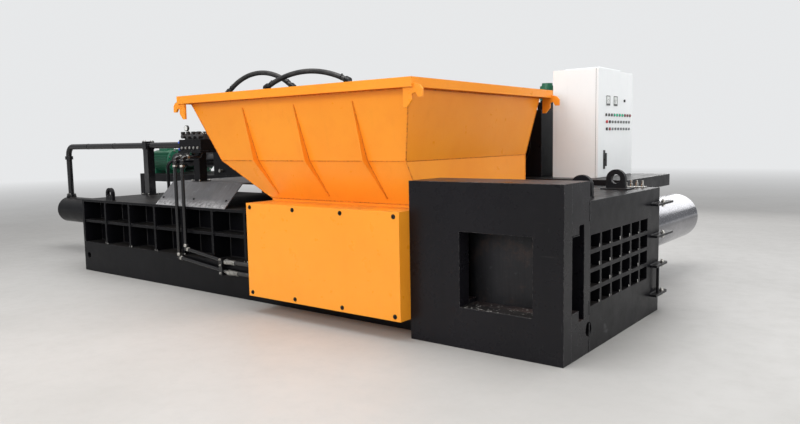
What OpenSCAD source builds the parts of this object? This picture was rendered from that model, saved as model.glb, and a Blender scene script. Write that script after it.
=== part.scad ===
/* [Press block] */
// Height of the gate portal above the floor
portal_h = 1250; // [1200:10:1300]
// Length of the portal along the press
portal_l = 1288; // [1260:4:1320]
// Clear width of the bale chamber, also the ram face
bale_w = 600; // [580:4:620]
// Clear height of the bale chamber
bale_h = 570; // [550:5:590]
// Height of the chamber floor above the ground
sill_z = 312; // [300:2:324]
// Thickness of the ribbed end wall beside the chamber
end_wall = 231; // [220:1:250]
// Clear width of the charging channel
channel_w = 1230; // [1200:10:1250]
// Height of the block behind the portal
box_top = 1105; // [1080:5:1130]
// Thickness of the gate's groove
gate_t = 90; // [84:1:96]
// Thickness of the portal's front wall
front_wall = 132; // [120:2:140]
// Depth of the compress ram
cram_d = 250; // [240:2:260]
// Ribs' thickness in the grid window
grid_rib = 30; // [24:1:34]
// Diameter of the round holes low in the ends
foot_hole_d = 110; // [90:2:120]

/* [Charging box] */
// Length of the charging box left of the portal
frame_l = 5296; // [5250:4:5340]
// Outer width of the charging box
frame_w = 1742; // [1720:2:1760]
// Length of the throat below the hopper
throat_l = 1767; // [1740:3:1790]
// Length of the charging ram
ram_l = 2226; // [2200:2:2240]
// Top of the side skirt
skirt_z = 364; // [350:2:372]
// Spacing of the side ribs
rib_pitch = 515; // [505:1:525]
// Thickness of a side rib
rib_t = 30; // [24:1:34]
// Length of the folded hood over the charging ram
hood_l = 1197; // [1150:5:1240]
// Height of the hood above the charging box
hood_h = 246; // [230:2:260]

/* [Hopper] */
// Height of the hopper's rim above the floor
rim_z = 2030; // [2000:5:2060]
// Length of the rim along the press
rim_l = 2885; // [2860:5:2910]
// Width of the rim across the press
rim_w = 2380; // [2350:5:2410]
// Height of the rim's outer lip
rim_h = 75; // [60:1:90]
// Width of the rim's flat top
rim_b = 100; // [80:1:110]
// Height of the fold between the two tiers
fold_z = 1395; // [1370:5:1420]
// Width of the hopper at the fold
fold_w = 1990; // [1970:5:2010]
// Height of the hopper's lower edge
hopper_z = 1038; // [1030:1:1046]
// Sheet thickness of the hopper
hopper_t = 12; // [10:1:14]

/* [Gate cover] */
// Reach of the cover before the charging box
cover_d = 325; // [310:5:340]
// Lower edge of the cover above the floor
cover_z = 157; // [150:1:166]
// Height of the cover
cover_h = 859; // [850:1:870]
// Sheet thickness of the cover
cover_t = 4; // [3:0.5:6]

/* [Cylinders] */
// Outer diameter of the charging cylinder
charge_od = 372; // [356:2:384]
// Bore of the charging cylinder
charge_id = 300; // [290:2:310]
// Rod diameter of the charging cylinder
charge_rod_d = 200; // [180:2:210]
// Outer diameter of the compress cylinder
press_od = 518; // [500:2:530]
// Bore of the compress cylinder
press_id = 430; // [420:2:440]
// Rod diameter of the compress cylinder
press_rod_d = 300; // [280:2:320]
// Length of the compress cylinder outside the block
press_l = 2296; // [2280:4:2320]
// Outer diameter of the gate cylinder
gate_od = 150; // [140:2:160]
// Rod diameter of the gate cylinder
gate_rod_d = 80; // [70:1:84]
// Diameter of the main oil pipe
main_pipe_d = 80; // [70:1:90]
// Diameter of the gate's pressure pipes
gate_pipe_d = 38; // [32:1:42]

/* [Power pack] */
// Height of the power deck above the floor
deck_z = 1150; // [1130:5:1170]
// Height of the control cabinet
cabinet_h = 1085; // [1060:5:1110]
// Width of the cabinet's door face
cabinet_w = 955; // [940:1:965]
// Depth of the control cabinet
cabinet_d = 482; // [470:2:490]
// Height of the oil tank
tank_h = 1060; // [1040:5:1080]
// Diameter of the arching suction hoses
hose_d = 68; // [60:1:72]

/* [Hidden] */
$fn = 48;
gap = 0.3;
// plates: channel wall, flange, skirt, end plate, cross plate, ram shell, blade, lug, seat
wall_t = 34;
flange_t = 27;
skirt_t = 25;
end_t = 40;
cross_t = 20;
cross_z = 60;
shell_t = 40;
cell_pitch = 530;
ram_gap = 4;
blade_w = 60;
blade_h = 50;
lug_t = 40;
seat_t = 16;
// guide rails of the gate
rail_t = 20;
rail_gap = 3;
rail_l = 323;
// deck: plate, beams, legs and their feet
deck_t = 20;
beam_w = 60;
beam_h = 100;
leg_w = 80;
foot_t = 15;
foot_b = 50;
// tank and its stand
post_w = 100;
rail_h = 120;
brace_z = 120;
brace_h = 80;
tray_t = 15;
tank_t = 8;
lid_b = 20;
// bends and walls of pipes
main_bend = 130;
rise_bend = 90;
gate_bend = 45;
hose_bend = 110;
port_h = 14;
// oil cooler's housing
cooler_w = 830;
cooler_d = 365;
cooler_h = 700;
// cabinet: sheet, depth of the door
sheet_t = 3;
door_t = 24;
// colours
black = "#17181b";
orange = "#f79a1e";
steel = "#b9bcc0";
grey = "#6b6d70";
white = "#e8ecee";
// end face, portal's far side, half widths of channel and frame, heights of the chamber
xe = bale_w / 2 + end_wall;
xp = xe - portal_l;
yc = channel_w / 2;
wy = frame_w / 2;
roof_z = sill_z + bale_h;
frame_z = roof_z + 15;
// gate's groove, rear and front of the portal's plates, joint of the block, its rear face
yg1 = -yc - 113;
yg0 = yg1 - gate_t;
ys0 = yg0 - 115;
y0 = ys0 - front_wall;
yj = -yc - 16;
yb = yc + cram_d + 60;
// floor under the wear plates, axis of the three cylinders
floor_z = sill_z - 12;
cyl_z = sill_z + bale_h / 2 + 9;
// left end of the charging box, throat's far edge, heights of the groove and the seat
xf = xp - frame_l;
xt = xp - throat_l;
gz0 = sill_z - 47;
gz1 = roof_z + 69;
seat_z = gz1 + 45;
// ram's back, ends and port of the charging cylinder, the gate cylinder's line and ends
xr = xt - ram_l;
cc0 = xf - 2016;
cc1 = xr - 320;
port_x = cc0 + 80;
gy = (yg0 + yg1) / 2;
gcx1 = xp - rail_l;
gcx0 = gcx1 - 970;
// front of the cover, hood's ends and top, foot of the valve stand, line of its ports
yk = -wy - cover_d;
hx1 = xf + 1602 + hood_l;
hx0 = hx1 - hood_l;
hood_z = frame_z + hood_h;
vx = hx0 + 328;
vy = -490;
vz = hood_z + 322;
pipe_z = vz + 85;
// hopper: rim's underside, then its section inside the rim, at the fold and at the foot
rz0 = rim_z - rim_h;
ux0 = rim_x0() + rim_b;
ux1 = rim_x1() - rim_b;
uy = rim_w / 2 - rim_b;
fx0 = xt - 565;
fx1 = xp - 75;
fy = fold_w / 2;
lx0 = xt;
lx1 = xp - 12;
ly = wy;
// deck's outline and legs, cabinet's box and the line of its hinges
py0 = 1070;
deck_x0 = -1720;
deck_x1 = 188;
deck_y1 = 2350;
leg_x1 = -420;
cabx1 = -208;
cabx0 = cabx1 - cabinet_d;
caby0 = 1335;
caby1 = caby0 + cabinet_w;
cabz1 = deck_z + cabinet_h;
hinge_x = cabx1 - 12;
hinge_y = caby1 + 9;
// rows of the door's panel, then its meters, main switch and handle
row_1 = deck_z + 630;
row_2 = deck_z + 560;
row_3 = deck_z + 488;
lamp_pitch = 75;
knob_pitch = 79;
shank_r = 11;
shank_l = 20;
meter_z = deck_z + 730;
meter_w = 84;
meter_h = 85;
meter_b = 6;
switch_y = caby0 + 704;
switch_z = deck_z + 783;
handle_y = caby0 + 163;
handle_z = deck_z + 180;
handle_r = 12;
// tank, the stand that reaches past it and the motors' axis
tx0 = xf - 47;
tx1 = tx0 + 2674;
sx0 = tx0 - 1950;
ty0 = rim_w / 2 + 25;
ty1 = ty0 + 1100;
tz0 = deck_z - 60;
tz1 = tz0 + tank_h;
motor_z = tz0 + 205;
function rim_x1() = xp + 133;
function rim_x0() = rim_x1() - rim_l;

module bx(x0, x1, y0, y1, z0, z1) {
  translate([x0, y0, z0]) cube([x1 - x0, y1 - y0, z1 - z0]);
}
module cx(x0, x1, y, z, r) {
  translate([x0, y, z]) rotate([0, 90, 0]) cylinder(h = x1 - x0, r = r);
}
module cy(y0, y1, x, z, r) {
  translate([x, y1, z]) rotate([90, 0, 0]) cylinder(h = y1 - y0, r = r);
}
module cz(z0, z1, x, y, r) {
  translate([x, y, z0]) cylinder(h = z1 - z0, r = r);
}
// profile in (y, z) drawn along x
module prx(x0, x1, p) {
  translate([x0, 0, 0]) rotate([90, 0, 90]) linear_extrude(x1 - x0) polygon(p);
}
// profile in (x, z) drawn along y
module pry(y0, y1, p) {
  translate([0, y1, 0]) rotate([90, 0, 0]) linear_extrude(y1 - y0) polygon(p);
}
// quarter bend of radius R about the axis at the origin, from +X to +Y
module bend(R, r) {
  rotate_extrude(angle = 90) translate([R, 0]) circle(r = r);
}
// block between two level rectangles
module tier(z0, a0, a1, b0, b1, z1, c0, c1, d0, d1) {
  polyhedron(points = [[a0, b0, z0], [a1, b0, z0], [a1, b1, z0], [a0, b1, z0],
      [c0, d0, z1], [c1, d0, z1], [c1, d1, z1], [c0, d1, z1]],
    faces = [[0, 1, 2, 3], [7, 6, 5, 4], [4, 5, 1, 0], [5, 6, 2, 1], [6, 7, 3, 2],
      [7, 4, 0, 3]]);
}

module side_ribs(s, n) {
  for (i = [1 : n]) {
    x = xf + i * rib_pitch;
    bx(x, x + rib_t, s > 0 ? yc + wall_t : -wy, s > 0 ? wy : -yc - wall_t, skirt_z, frame_z - flange_t);
  }
}

module main_frame() color(black) difference() {
  union() {
    // floor, channel walls, roof over the drawn ram
    bx(xf, xp, -yc - wall_t, yc + wall_t, floor_z - skirt_t, floor_z);
    bx(xf, xp, yc, yc + wall_t, floor_z - skirt_t, frame_z);
    bx(xf, xp, -yc - wall_t, -yc, floor_z - skirt_t, frame_z);
    bx(xf, xt, -yc, yc, roof_z, frame_z);
    // top flanges
    bx(xf, xp, yc, wy, frame_z - flange_t, frame_z);
    bx(xf, xt, -wy, -yc, frame_z - flange_t, frame_z);
    // end plate and the plate that carries the cylinder's front
    bx(xf, xf + end_t, -wy, wy, 0, frame_z);
    bx(xr - 350, xr - 350 + end_t, -yc, yc, floor_z, roof_z);
    // beam above the open gate and the upper guide rails on it
    bx(xt, xp, -yc - wall_t, -yc, frame_z, seat_z);
    bx(xt, xp, -wy, -yc, gz1 + skirt_t, seat_z);
    bx(xp - rail_l, xp, rail_ys()[0], rail_ys()[1] + rail_t, gz1, gz1 + skirt_t);
    for (y = rail_ys()) bx(xp - rail_l, xp, y, y + rail_t, gz1 - 26, gz1);
  }
  cx(xf - 1, xf + end_t + 1, 0, cyl_z, charge_od / 2);
  cx(xr - 351, xr - 349 + end_t, 0, cyl_z, charge_od / 2);
}

// skirts, shelves, ribs and cross plates that hold the channel
module frame_sides() color(black) difference() {
  union() {
    bx(xf + end_t, xp, wy - skirt_t, wy, 0, skirt_z);
    bx(xf + end_t, xt, -wy, -wy + skirt_t, 0, skirt_z);
    bx(xf + end_t, xp, yc + wall_t, wy, skirt_z - cross_t, skirt_z);
    bx(xf + end_t, xt, -wy, -yc - wall_t, skirt_z - cross_t, skirt_z);
    bx(xt - skirt_t, xt, -wy, -yc - wall_t, gz0 - skirt_t, skirt_z);
    side_ribs(1, 10);
    side_ribs(-1, 6);
    bx(xt - rib_t, xt, -wy, -yc - wall_t, skirt_z, frame_z - flange_t);
    bx(xf + end_t, xp, yc + wall_t, wy - 12, cyl_z + 7, cyl_z + 37);
    bx(xf + end_t, xt, -wy + 12, -yc - wall_t, cyl_z + 7, cyl_z + 37);
    // cross plates under the floor, lower where the gate passes
    for (i = [1 : 10]) {
      x = xf + i * rib_pitch;
      bx(x, x + cross_t, -yc - wall_t, wy - skirt_t, cross_z, floor_z - skirt_t);
      bx(x, x + cross_t, -wy + skirt_t, -yc - wall_t, cross_z, gz0 - skirt_t);
    }
  }
  cy(-wy - 1, -wy + skirt_t + 1, xf + 103, 194, 38);
  cy(wy - skirt_t - 1, wy + 1, xf + 103, 194, 38);
}

// shelf beside the throat: lower guide rails and the saddles of the gate cylinder
module gate_track() color(black) difference() {
  union() {
    bx(xt, xp, -wy, -wy + skirt_t, 0, gz0 - skirt_t);
    bx(xt, xp, -wy, -yc - wall_t, gz0 - skirt_t, gz0);
    for (y = rail_ys()) bx(xp - rail_l, xp, y, y + rail_t, gz0, gz0 + 35);
    for (x = [gcx0 + 90, gcx1 - 90])
      bx(x, x + 30, gy - gate_od / 2 - 15, -yc - wall_t, gz0, cyl_z + gate_od / 2 + 20);
  }
  cx(gcx0 + 89, gcx1 - 59, gy, cyl_z, gate_od / 2);
}

function rail_ys() = [yg0 - rail_gap - rail_t, yg1 + rail_gap];
function grid_w() = channel_w - 2;
function grid_h() = bale_h - 48;

// crossed bars let into the window of the end face
module end_grid() color(black) {
  cw = (grid_w() - 5 * grid_rib) / 6;
  ch = (grid_h() - 3 * grid_rib) / 4;
  for (i = [1 : 5]) {
    y = -yc + 1 + i * cw + (i - 1) * grid_rib;
    bx(xe - 150, xe, y, y + grid_rib, sill_z + 25, sill_z + 25 + grid_h());
  }
  for (j = [1 : 3]) {
    z = sill_z + 25 + j * ch + (j - 1) * grid_rib;
    bx(xe - 150, xe, -yc + 1, yc - 1, z, z + grid_rib);
  }
}

module bale_box() color(black) difference() {
  bx(xp, xe, yj, yb, 0, box_top);
  // chamber and the tunnel of the charging ram
  bx(-bale_w / 2, bale_w / 2, yj - 1, yc + cram_d, floor_z, roof_z);
  bx(xp - 1, -bale_w / 2 + 1, -yc, yc, floor_z, roof_z);
  bx(xp - 1, xp + blade_w, -yc, yc, roof_z - 1, roof_z + blade_h);
  cy(yb - 61, yb + 1, 0, cyl_z, press_rod_d / 2 + 6);
  bx(xe - 150, xe + 1, -yc + 1, yc - 1, sill_z + 25, sill_z + 25 + grid_h());
  // two hollows under the floor, between its skids
  for (j = [0 : 1])
    bx(xp - 1, xe - 60, yj + 50 + j * 753, yj + 50 + j * 753 + 703, -1, floor_z - 60);
  cx(xe - 40, xe + 1, yj - 10, 175, foot_hole_d / 2);
}

// plate with the outlet, before the gate's channel
module portal_front() color(black) difference() {
  bx(xp, xe, y0, ys0, 0, portal_h);
  bx(-bale_w / 2, bale_w / 2, y0 - 1, ys0 + 1, sill_z, roof_z);
}

module gate_portal() color(black) difference() {
  bx(xp, xe, ys0, yj, 0, portal_h);
  bx(-bale_w / 2, bale_w / 2, ys0 - 1, yj + 1, sill_z, roof_z);
  // channel of the gate, open at both ends
  bx(xp - 1, xe + 1, ys0 - 1, yg1, sill_z + 33, roof_z + 6);
  bx(xp - 1, xe + 1, yg0, yg1, gz0, gz1 - 14);
  bx(xp - 1, xe + 1, yg0 + 14, yg1 - 14, gz1 - 15, gz1);
  cx(xp - 1, xe + 1, yg0 + 14, gz1 - 14, 14);
  cx(xp - 1, xe + 1, yg1 - 14, gz1 - 14, 14);
  // hollow under the sill
  bx(xp + 40, xe - 60, ys0 + 40, yj - 40, -1, gz0 - 60);
  cx(xe - 40, xe + 1, yj - 10, 175, foot_hole_d / 2);
}

module chamber_liner() color(grey)
  bx(-bale_w / 2, bale_w / 2, yj, yc + cram_d, floor_z, sill_z);

module channel_liners() color(grey) {
  l = (-bale_w / 2 - xr + 5) / 4;
  for (i = [0 : 3]) bx(xr - 5 + i * l, xr - 5 + (i + 1) * l - 2, -yc, yc, floor_z, sill_z);
}

module throat_blade() color(steel)
  bx(xp, xp + blade_w, -yc, yc, roof_z, roof_z + blade_h);

module charging_ram() color(grey) difference() {
  bx(xr, xt, -yc + ram_gap, yc - ram_gap, sill_z, roof_z - ram_gap);
  // cells open below, between the shell and its webs
  for (i = [0 : 3]) for (y = [-yc + ram_gap + shell_t, shell_t / 2]) {
    x = xr + 60 + i * cell_pitch;
    bx(x, x + cell_pitch - shell_t, y, y + yc - ram_gap - 1.5 * shell_t, sill_z - 1,
      roof_z - ram_gap - shell_t);
  }
  bx(xt - blade_w, xt + 1, -yc + 3, yc - 3, roof_z - ram_gap - blade_h, roof_z - 3);
}

module ram_blade() color(steel)
  bx(xt - blade_w, xt, -yc + ram_gap, yc - ram_gap, roof_z - ram_gap - blade_h,
    roof_z - ram_gap);

module charging_rod() color("silver") {
  cx(xr - 50, xr, 0, cyl_z, 165);
  cx(cc1 - 2520, xr - 50, 0, cyl_z, charge_rod_d / 2);
  cx(cc1 - 2600, cc1 - 2440, 0, cyl_z, charge_id / 2 - gap);
}

module charging_cylinder() color(black) difference() {
  union() {
    cx(cc0, cc1, 0, cyl_z, charge_od / 2);
    cx(cc0 - 57, cc0, 0, cyl_z, charge_od / 2 - 30);
    cx(xf - 50, xf, 0, cyl_z, charge_od / 2 + 60);
    cz(cyl_z, cyl_z + charge_od / 2 + port_h, port_x, 0, 70);
    cz(cyl_z, cyl_z + charge_od / 2 + port_h, cc1 - 190, 0, 45);
  }
  cx(cc0 + 70, cc1 + 1, 0, cyl_z, charge_id / 2);
}

module charging_gland() color(steel) difference() {
  cx(cc1 - 150, cc1, 0, cyl_z, charge_id / 2);
  cx(cc1 - 151, cc1 + 1, 0, cyl_z, charge_rod_d / 2 + gap);
}

module compress_ram() color(grey) {
  difference() {
    bx(-bale_w / 2 + 2, bale_w / 2 - 2, yc, yc + cram_d, sill_z, roof_z - 2);
    for (s = [-1, 1]) for (z = [sill_z + 40, cyl_z + 30])
      bx(s > 0 ? 30 : -bale_w / 2 + 42, s > 0 ? bale_w / 2 - 42 : -30, yc + 80, yc + cram_d + 1,
        z, z + bale_h / 2 - 79);
  }
  cy(yc + 80, yc + cram_d, 0, cyl_z, press_rod_d / 2 + 30);
}

module compress_rod() color("silver") {
  cy(yc + cram_d, yb + 1640, 0, cyl_z, press_rod_d / 2);
  cy(yb + 1500, yb + 1680, 0, cyl_z, press_id / 2 - gap);
}

module compress_cylinder() color("silver") difference() {
  union() {
    cy(yb, yb + press_l, 0, cyl_z, press_od / 2);
    cy(yb + 760, yb + 785, 0, cyl_z, press_od / 2 + 5);
  }
  cy(yb - 1, yb + press_l - 90, 0, cyl_z, press_id / 2);
}

module compress_gland() color(steel) difference() {
  cy(yb, yb + 140, 0, cyl_z, press_id / 2);
  cy(yb - 1, yb + 141, 0, cyl_z, press_rod_d / 2 + gap);
}

module gate() color(grey)
  bx(-bale_w / 2 - 60, bale_w / 2 + 60, yg0 + 3, yg1 - 3, gz0, gz1 - 17);

module gate_rod() color("silver") {
  cx(gcx1 - 180, -bale_w / 2 - 60, gy, cyl_z, gate_rod_d / 2);
  cx(gcx1 - 200, gcx1 - 130, gy, cyl_z, gate_od / 2 - 12 - gap);
}

function gate_ports() = [gcx0 + 50, gcx1 - 130];

module gate_cylinder() color(black) difference() {
  union() {
    cx(gcx0, gcx1, gy, cyl_z, gate_od / 2);
    for (x = gate_ports()) cz(cyl_z, cyl_z + gate_od / 2 + 25, x, gy, 24);
  }
  cx(gcx0 + 30, gcx1 - 50, gy, cyl_z, gate_od / 2 - 12);
  cx(gcx1 - 51, gcx1 + 1, gy, cyl_z, gate_rod_d / 2 + gap);
}

module gate_cover() color(orange) difference() {
  bx(xt, xp - 1, yk, -wy, cover_z, cover_z + cover_h);
  bx(xt - 1, xp - 1 - cover_t, yk + cover_t, -wy + 1, cover_z + cover_t,
    cover_z + cover_h - cover_t);
  cover_bolt_holes();
}

function bolt_xs() = [for (i = [0 : 3]) xt + 49 + i * (throat_l - 104) / 3];

module cover_bolt_holes()
  for (x = bolt_xs()) for (z = [cover_z + 37, cover_z + cover_h - 37])
    cy(yk - 1, yk + cover_t + 1, x, z, 9);

module cover_posts() color(black)
  for (x = bolt_xs()) difference() {
    union() {
      bx(x - 22, x + 22, yk + cover_t, yk + cover_t + 40, cover_z + cover_t + 2,
        cover_z + cover_h - cover_t - 2);
      bx(x - 22, x + 22, yk + cover_t + 40, -wy, cover_z + 15, cover_z + 60);
      bx(x - 22, x + 22, yk + cover_t + 40, -wy, gz1 + skirt_t, seat_z);
    }
    for (z = [cover_z + 37, cover_z + cover_h - 37])
      cy(yk + cover_t - 1, yk + cover_t + 26, x, z, 8);
  }

module cover_bolts() color(black)
  for (x = bolt_xs()) for (z = [cover_z + 37, cover_z + cover_h - 37]) {
    cy(yk, yk + cover_t + 25, x, z, 8);
    translate([x, yk, z]) rotate([90, 0, 0]) cylinder(h = 10, r = 14, $fn = 6);
  }

module hopper_rib(xa, xb, xc) {
  // foot below the fold, then the rib above it
  for (q = [[hopper_z + 45, xc, -ly - (fy - ly) * 45 / (fold_z - hopper_z), 8, fold_z, xb, -fy, 60],
      [fold_z, xb, -fy, 60, rz0 - 70, xa, -fy - (uy - fy) * (rz0 - 70 - fold_z) / (rz0 - fold_z), 8]])
    tier(q[0], q[1] - 6, q[1] + 6, q[2] - q[3], q[2] + 4, q[4], q[5] - 6, q[5] + 6, q[6] - q[7],
      q[6] + 4);
}

module hopper() color(orange) {
  t = hopper_t;
  difference() {
    union() {
      tier(hopper_z, lx0, lx1, -ly, ly, fold_z, fx0, fx1, -fy, fy);
      tier(fold_z, fx0, fx1, -fy, fy, rz0, ux0, ux1, -uy, uy);
      bx(ux0, ux1, -uy, uy, rz0, rim_z);
    }
    tier(hopper_z - 0.01, lx0 + t, lx1 - t, -ly + t, ly - t, fold_z, fx0 + t, fx1 - t, -fy + t, fy - t);
    tier(fold_z, fx0 + t, fx1 - t, -fy + t, fy - t, rz0, ux0 + t, ux1 - t, -uy + t, uy - t);
    bx(ux0 + t, ux1 - t, -uy + t, uy - t, rz0 - 0.01, rim_z + 1);
  }
  // rim, open below
  difference() {
    bx(rim_x0(), rim_x1(), -rim_w / 2, rim_w / 2, rz0, rim_z);
    bx(rim_x0() + t, rim_x1() - t, -rim_w / 2 + t, rim_w / 2 - t, rz0 - 1, rim_z - t);
    bx(ux0, ux1, -uy, uy, rim_z - t - 1, rim_z + 1);
  }
  for (s = [0, 1]) mirror([0, s, 0]) {
    hopper_rib(xp - 1907, xp - 1809, xp - 1664);
    hopper_rib(xp - 1234, xp - 1141, xp - 1014);
    hopper_rib(xp - 553, xp - 475, xp - 359);
    // hooks under the rim, curling outwards
    translate([rim_x1(), -rim_w / 2 + 30, rz0]) hook();
    translate([rim_x0(), -rim_w / 2 + 30, rz0]) mirror([1, 0, 0]) hook();
  }
}

module hook() {
  pry(-10, 10, [[-95, -150], [-60, -150], [-12, -95], [-12, -52], [20, -40], [45, -78],
    [85, -78], [85, -20], [60, 12], [0, 30], [0, 45], [-95, 45]]);
}

module hopper_seat() color(orange) difference() {
  union() {
    prx(xt, xp, [[-wy, seat_z], [-wy, hopper_z], [-wy + 14, hopper_z], [-yc, seat_z + 14],
      [-yc, seat_z]]);
    prx(xt, xp, [[wy, frame_z], [wy, hopper_z], [wy - 14, hopper_z], [yc, frame_z + 16],
      [yc, frame_z]]);
    bx(xt, xt + seat_t, -yc, yc + 100, frame_z, hopper_z);
    bx(xp - seat_t, xp, -yc, yc + 100, frame_z, hopper_z);
    bx(xt, xt + seat_t, -yc - 100, -yc, seat_z, hopper_z);
    bx(xp - seat_t, xp, -yc - 100, -yc, seat_z, hopper_z);
  }
  prx(xt - 1, xp - seat_t, [[wy - 16, frame_z + 16], [wy - 16, hopper_z - 30],
    [yc + 60, frame_z + 16]]);
}

module ram_hood() color(grey) {
  a = 10;
  k = wy - hood_h;
  prx(hx0, hx1, [[-wy, frame_z], [-k, hood_z], [k, hood_z], [wy, frame_z],
    [wy - a * 1.414, frame_z], [k - a * 0.414, hood_z - a], [-k + a * 0.414, hood_z - a],
    [-wy + a * 1.414, frame_z]]);
}

// lug in the plane of x, standing on the origin
module lug(w, h, t) difference() {
  union() {
    bx(-w / 2, w / 2, -t / 2, t / 2, 0, h - w / 2);
    cy(-t / 2, t / 2, 0, h - w / 2, w / 2);
  }
  cy(-t / 2 - 1, t / 2 + 1, 0, h - w / 2 + 3, 40);
}

module lifting_lugs() color(black) {
  for (p = [[270, 570], [350, -350]])
    translate([p[0], p[1], box_top]) lug(170, 172, lug_t);
  for (y = [-wy + 56, wy - 56]) translate([xf + 578, y, frame_z]) lug(140, 153, lug_t);
}

function lug_z() = [163, 421, 682, 958];

module rear_lugs() color(black) for (i = [0 : 3]) difference() {
  z = lug_z()[i];
  y1 = i > 1 ? yb + 225 : yb + 80;
  union() {
    bx(xe, xe + 62, yb - 235, y1 - 31, z, z + 18);
    cz(z, z + 18, xe + 31, y1 - 31, 31);
  }
  cz(z - 1, z + 19, xe + 31, yb, 11);
}

module lug_bolts() color("silver") for (z = lug_z()) {
  cz(z - 24, z + 44, xe + 31, yb, 10);
  translate([xe + 31, yb, z + 18]) cylinder(h = 14, r = 19, $fn = 6);
  translate([xe + 31, yb, z - 14]) cylinder(h = 14, r = 19, $fn = 6);
}

module lug_rod() color(black)
  cz(lug_z()[0] + 18, lug_z()[1], xe + 31, yb - 110, 12);

module valve_stand() color(black) {
  difference() {
    bx(vx - 50, vx + 50, vy - 50, vy + 50, hood_z, vz);
    bx(vx - 44, vx + 44, vy - 44, vy + 44, hood_z - 1, vz + 1);
  }
  bx(vx - 86, vx + 314, vy - 225, vy + 60, vz, vz + 25);
}

module valve_manifold() color(black) {
  bx(vx - 76, vx + 304, vy - 210, vy + 50, vz + 25, vz + 145);
  bx(vx + 60, vx + 240, vy - 30, vy + 40, vz + 145, vz + 215);
  cy(vy + 50, vy + 65, vx - 10, pipe_z, 55);
}

module solenoid_valves() color(grey)
  for (i = [0 : 3]) translate([vx - 24 + i * 92, vy - 110, vz + 145]) {
    bx(-32, 32, -40, 40, 0, 62);
    cy(40, 78, 0, 34, 22);
    cy(-98, -40, 0, 34, 22);
  }

// header on the pumps, low run behind the charging box, rise to the manifold
module pressure_pipe() color(black) {
  r = 24;
  R = rise_bend;
  x0 = tx0 - 860;
  x1 = vx + 200;
  y = wy + 140;
  z0 = motor_z;
  z1 = 800;
  z2 = pipe_z;
  for (m = motor_ys()) cx(tx0 - 940, x0, m, z0, r);
  cy(y + R, motor_ys()[1], x0, z0, r);
  translate([x0, y + R, z0 - R]) rotate([90, 0, 90]) rotate([0, 0, 90]) bend(R, r);
  cz(z1 + R, z0 - R, x0, y, r);
  translate([x0 + R, y, z1 + R]) rotate([90, 0, 0]) rotate([0, 0, 180]) bend(R, r);
  cx(x0 + R, x1 - R, y, z1, r);
  translate([x1 - R, y, z1 + R]) rotate([90, 0, 0]) rotate([0, 0, -90]) bend(R, r);
  cz(z1 + R, z2 - R, x1, y, r);
  translate([x1, y - R, z2 - R]) rotate([90, 0, 90]) bend(R, r);
  cy(vy + 50, y - R, x1, z2, r);
}

module main_oil_pipe() color(black) {
  R = main_bend;
  r = main_pipe_d / 2;
  z = pipe_z;
  x0 = port_x;
  cy(vy + 65, -R, vx - 10, z, r);
  translate([vx - 10 - R, -R, z]) bend(R, r);
  cx(x0 + R, vx - 10 - R, 0, z, r);
  translate([x0 + R, 0, z - R]) rotate([90, 0, 180]) bend(R, r);
  cz(cyl_z + charge_od / 2 + port_h, z - R, x0, 0, r);
  cz(cyl_z + charge_od / 2 + port_h, cyl_z + charge_od / 2 + port_h + 30, x0, 0, r + 26);
  cz(z - R - 60, z - R - 10, x0, 0, r + 16);
  pipe_post();
}

// square post with the clamp round the pipe
module pipe_post() {
  x = xf + 167;
  z = pipe_z - main_pipe_d / 2;
  difference() {
    bx(x - 50, x + 50, -50, 50, frame_z, z - 10);
    bx(x - 44, x + 44, -44, 44, frame_z - 1, z - 18);
  }
  difference() {
    bx(x - 40, x + 40, -66, 66, z - 10, z + main_pipe_d + 16);
    cx(x - 41, x + 41, 0, pipe_z, main_pipe_d / 2);
  }
}

pipe_y = -wy - 30;
drop = 84;
function gpx() = [vx + 113, vx + 239];
function gpz() = [258, 362];

function gpe() = [xt - 660, xt - 700];

// sloping run i, grown by g
module pipe_run(i, g) {
  dx = gpe()[i] - gpx()[i];
  translate([gpx()[i], pipe_y, gpz()[i] + drop]) rotate([0, 90 + atan(drop / dx), 0])
    cylinder(h = sqrt(dx * dx + drop * drop), r = gate_pipe_d / 2 + g);
}

module gate_pipes() color(black) {
  pipe_couplings();
  pipe_clamp();
  gate_pipe_runs();
}

module gate_pipe_runs() for (i = [0, 1]) {
  r = gate_pipe_d / 2;
  R = gate_bend;
  x = gpx()[i];
  y = pipe_y;
  pipe_run(i, 0);
  translate([x, y, gpz()[i] + drop]) sphere(r = r + 3);
  zh = vz - R;
  cz(gpz()[i] + drop, zh - R, x, y, r);
  translate([x, y + R, zh - R]) rotate([90, 0, 90]) rotate([0, 0, 90]) bend(R, r);
  cy(y + R, vy - 165 - R, x, zh, r);
  translate([x, vy - 165 - R, vz]) rotate([90, 0, 90]) rotate([0, 0, -90]) bend(R, r);
}

module pipe_clamp() difference() {
  bx(xt - 780, xt - 730, -wy - 60, -wy, gpz()[0] - 35, gpz()[1] + 35);
  for (i = [0, 1]) pipe_run(i, 0);
}

// silver couplings at the lower ends of the pipes
module pipe_couplings() {
  for (q = [[gpe()[0], gpz()[0]], [gpe()[1], gpz()[1]]]) {
    translate([q[0], pipe_y, q[1]]) rotate([0, 90, 0]) cylinder(h = 40, r = 31, $fn = 6);
    cx(q[0] + 40, q[0] + 100, pipe_y, q[1], 26);
  }
}

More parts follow.
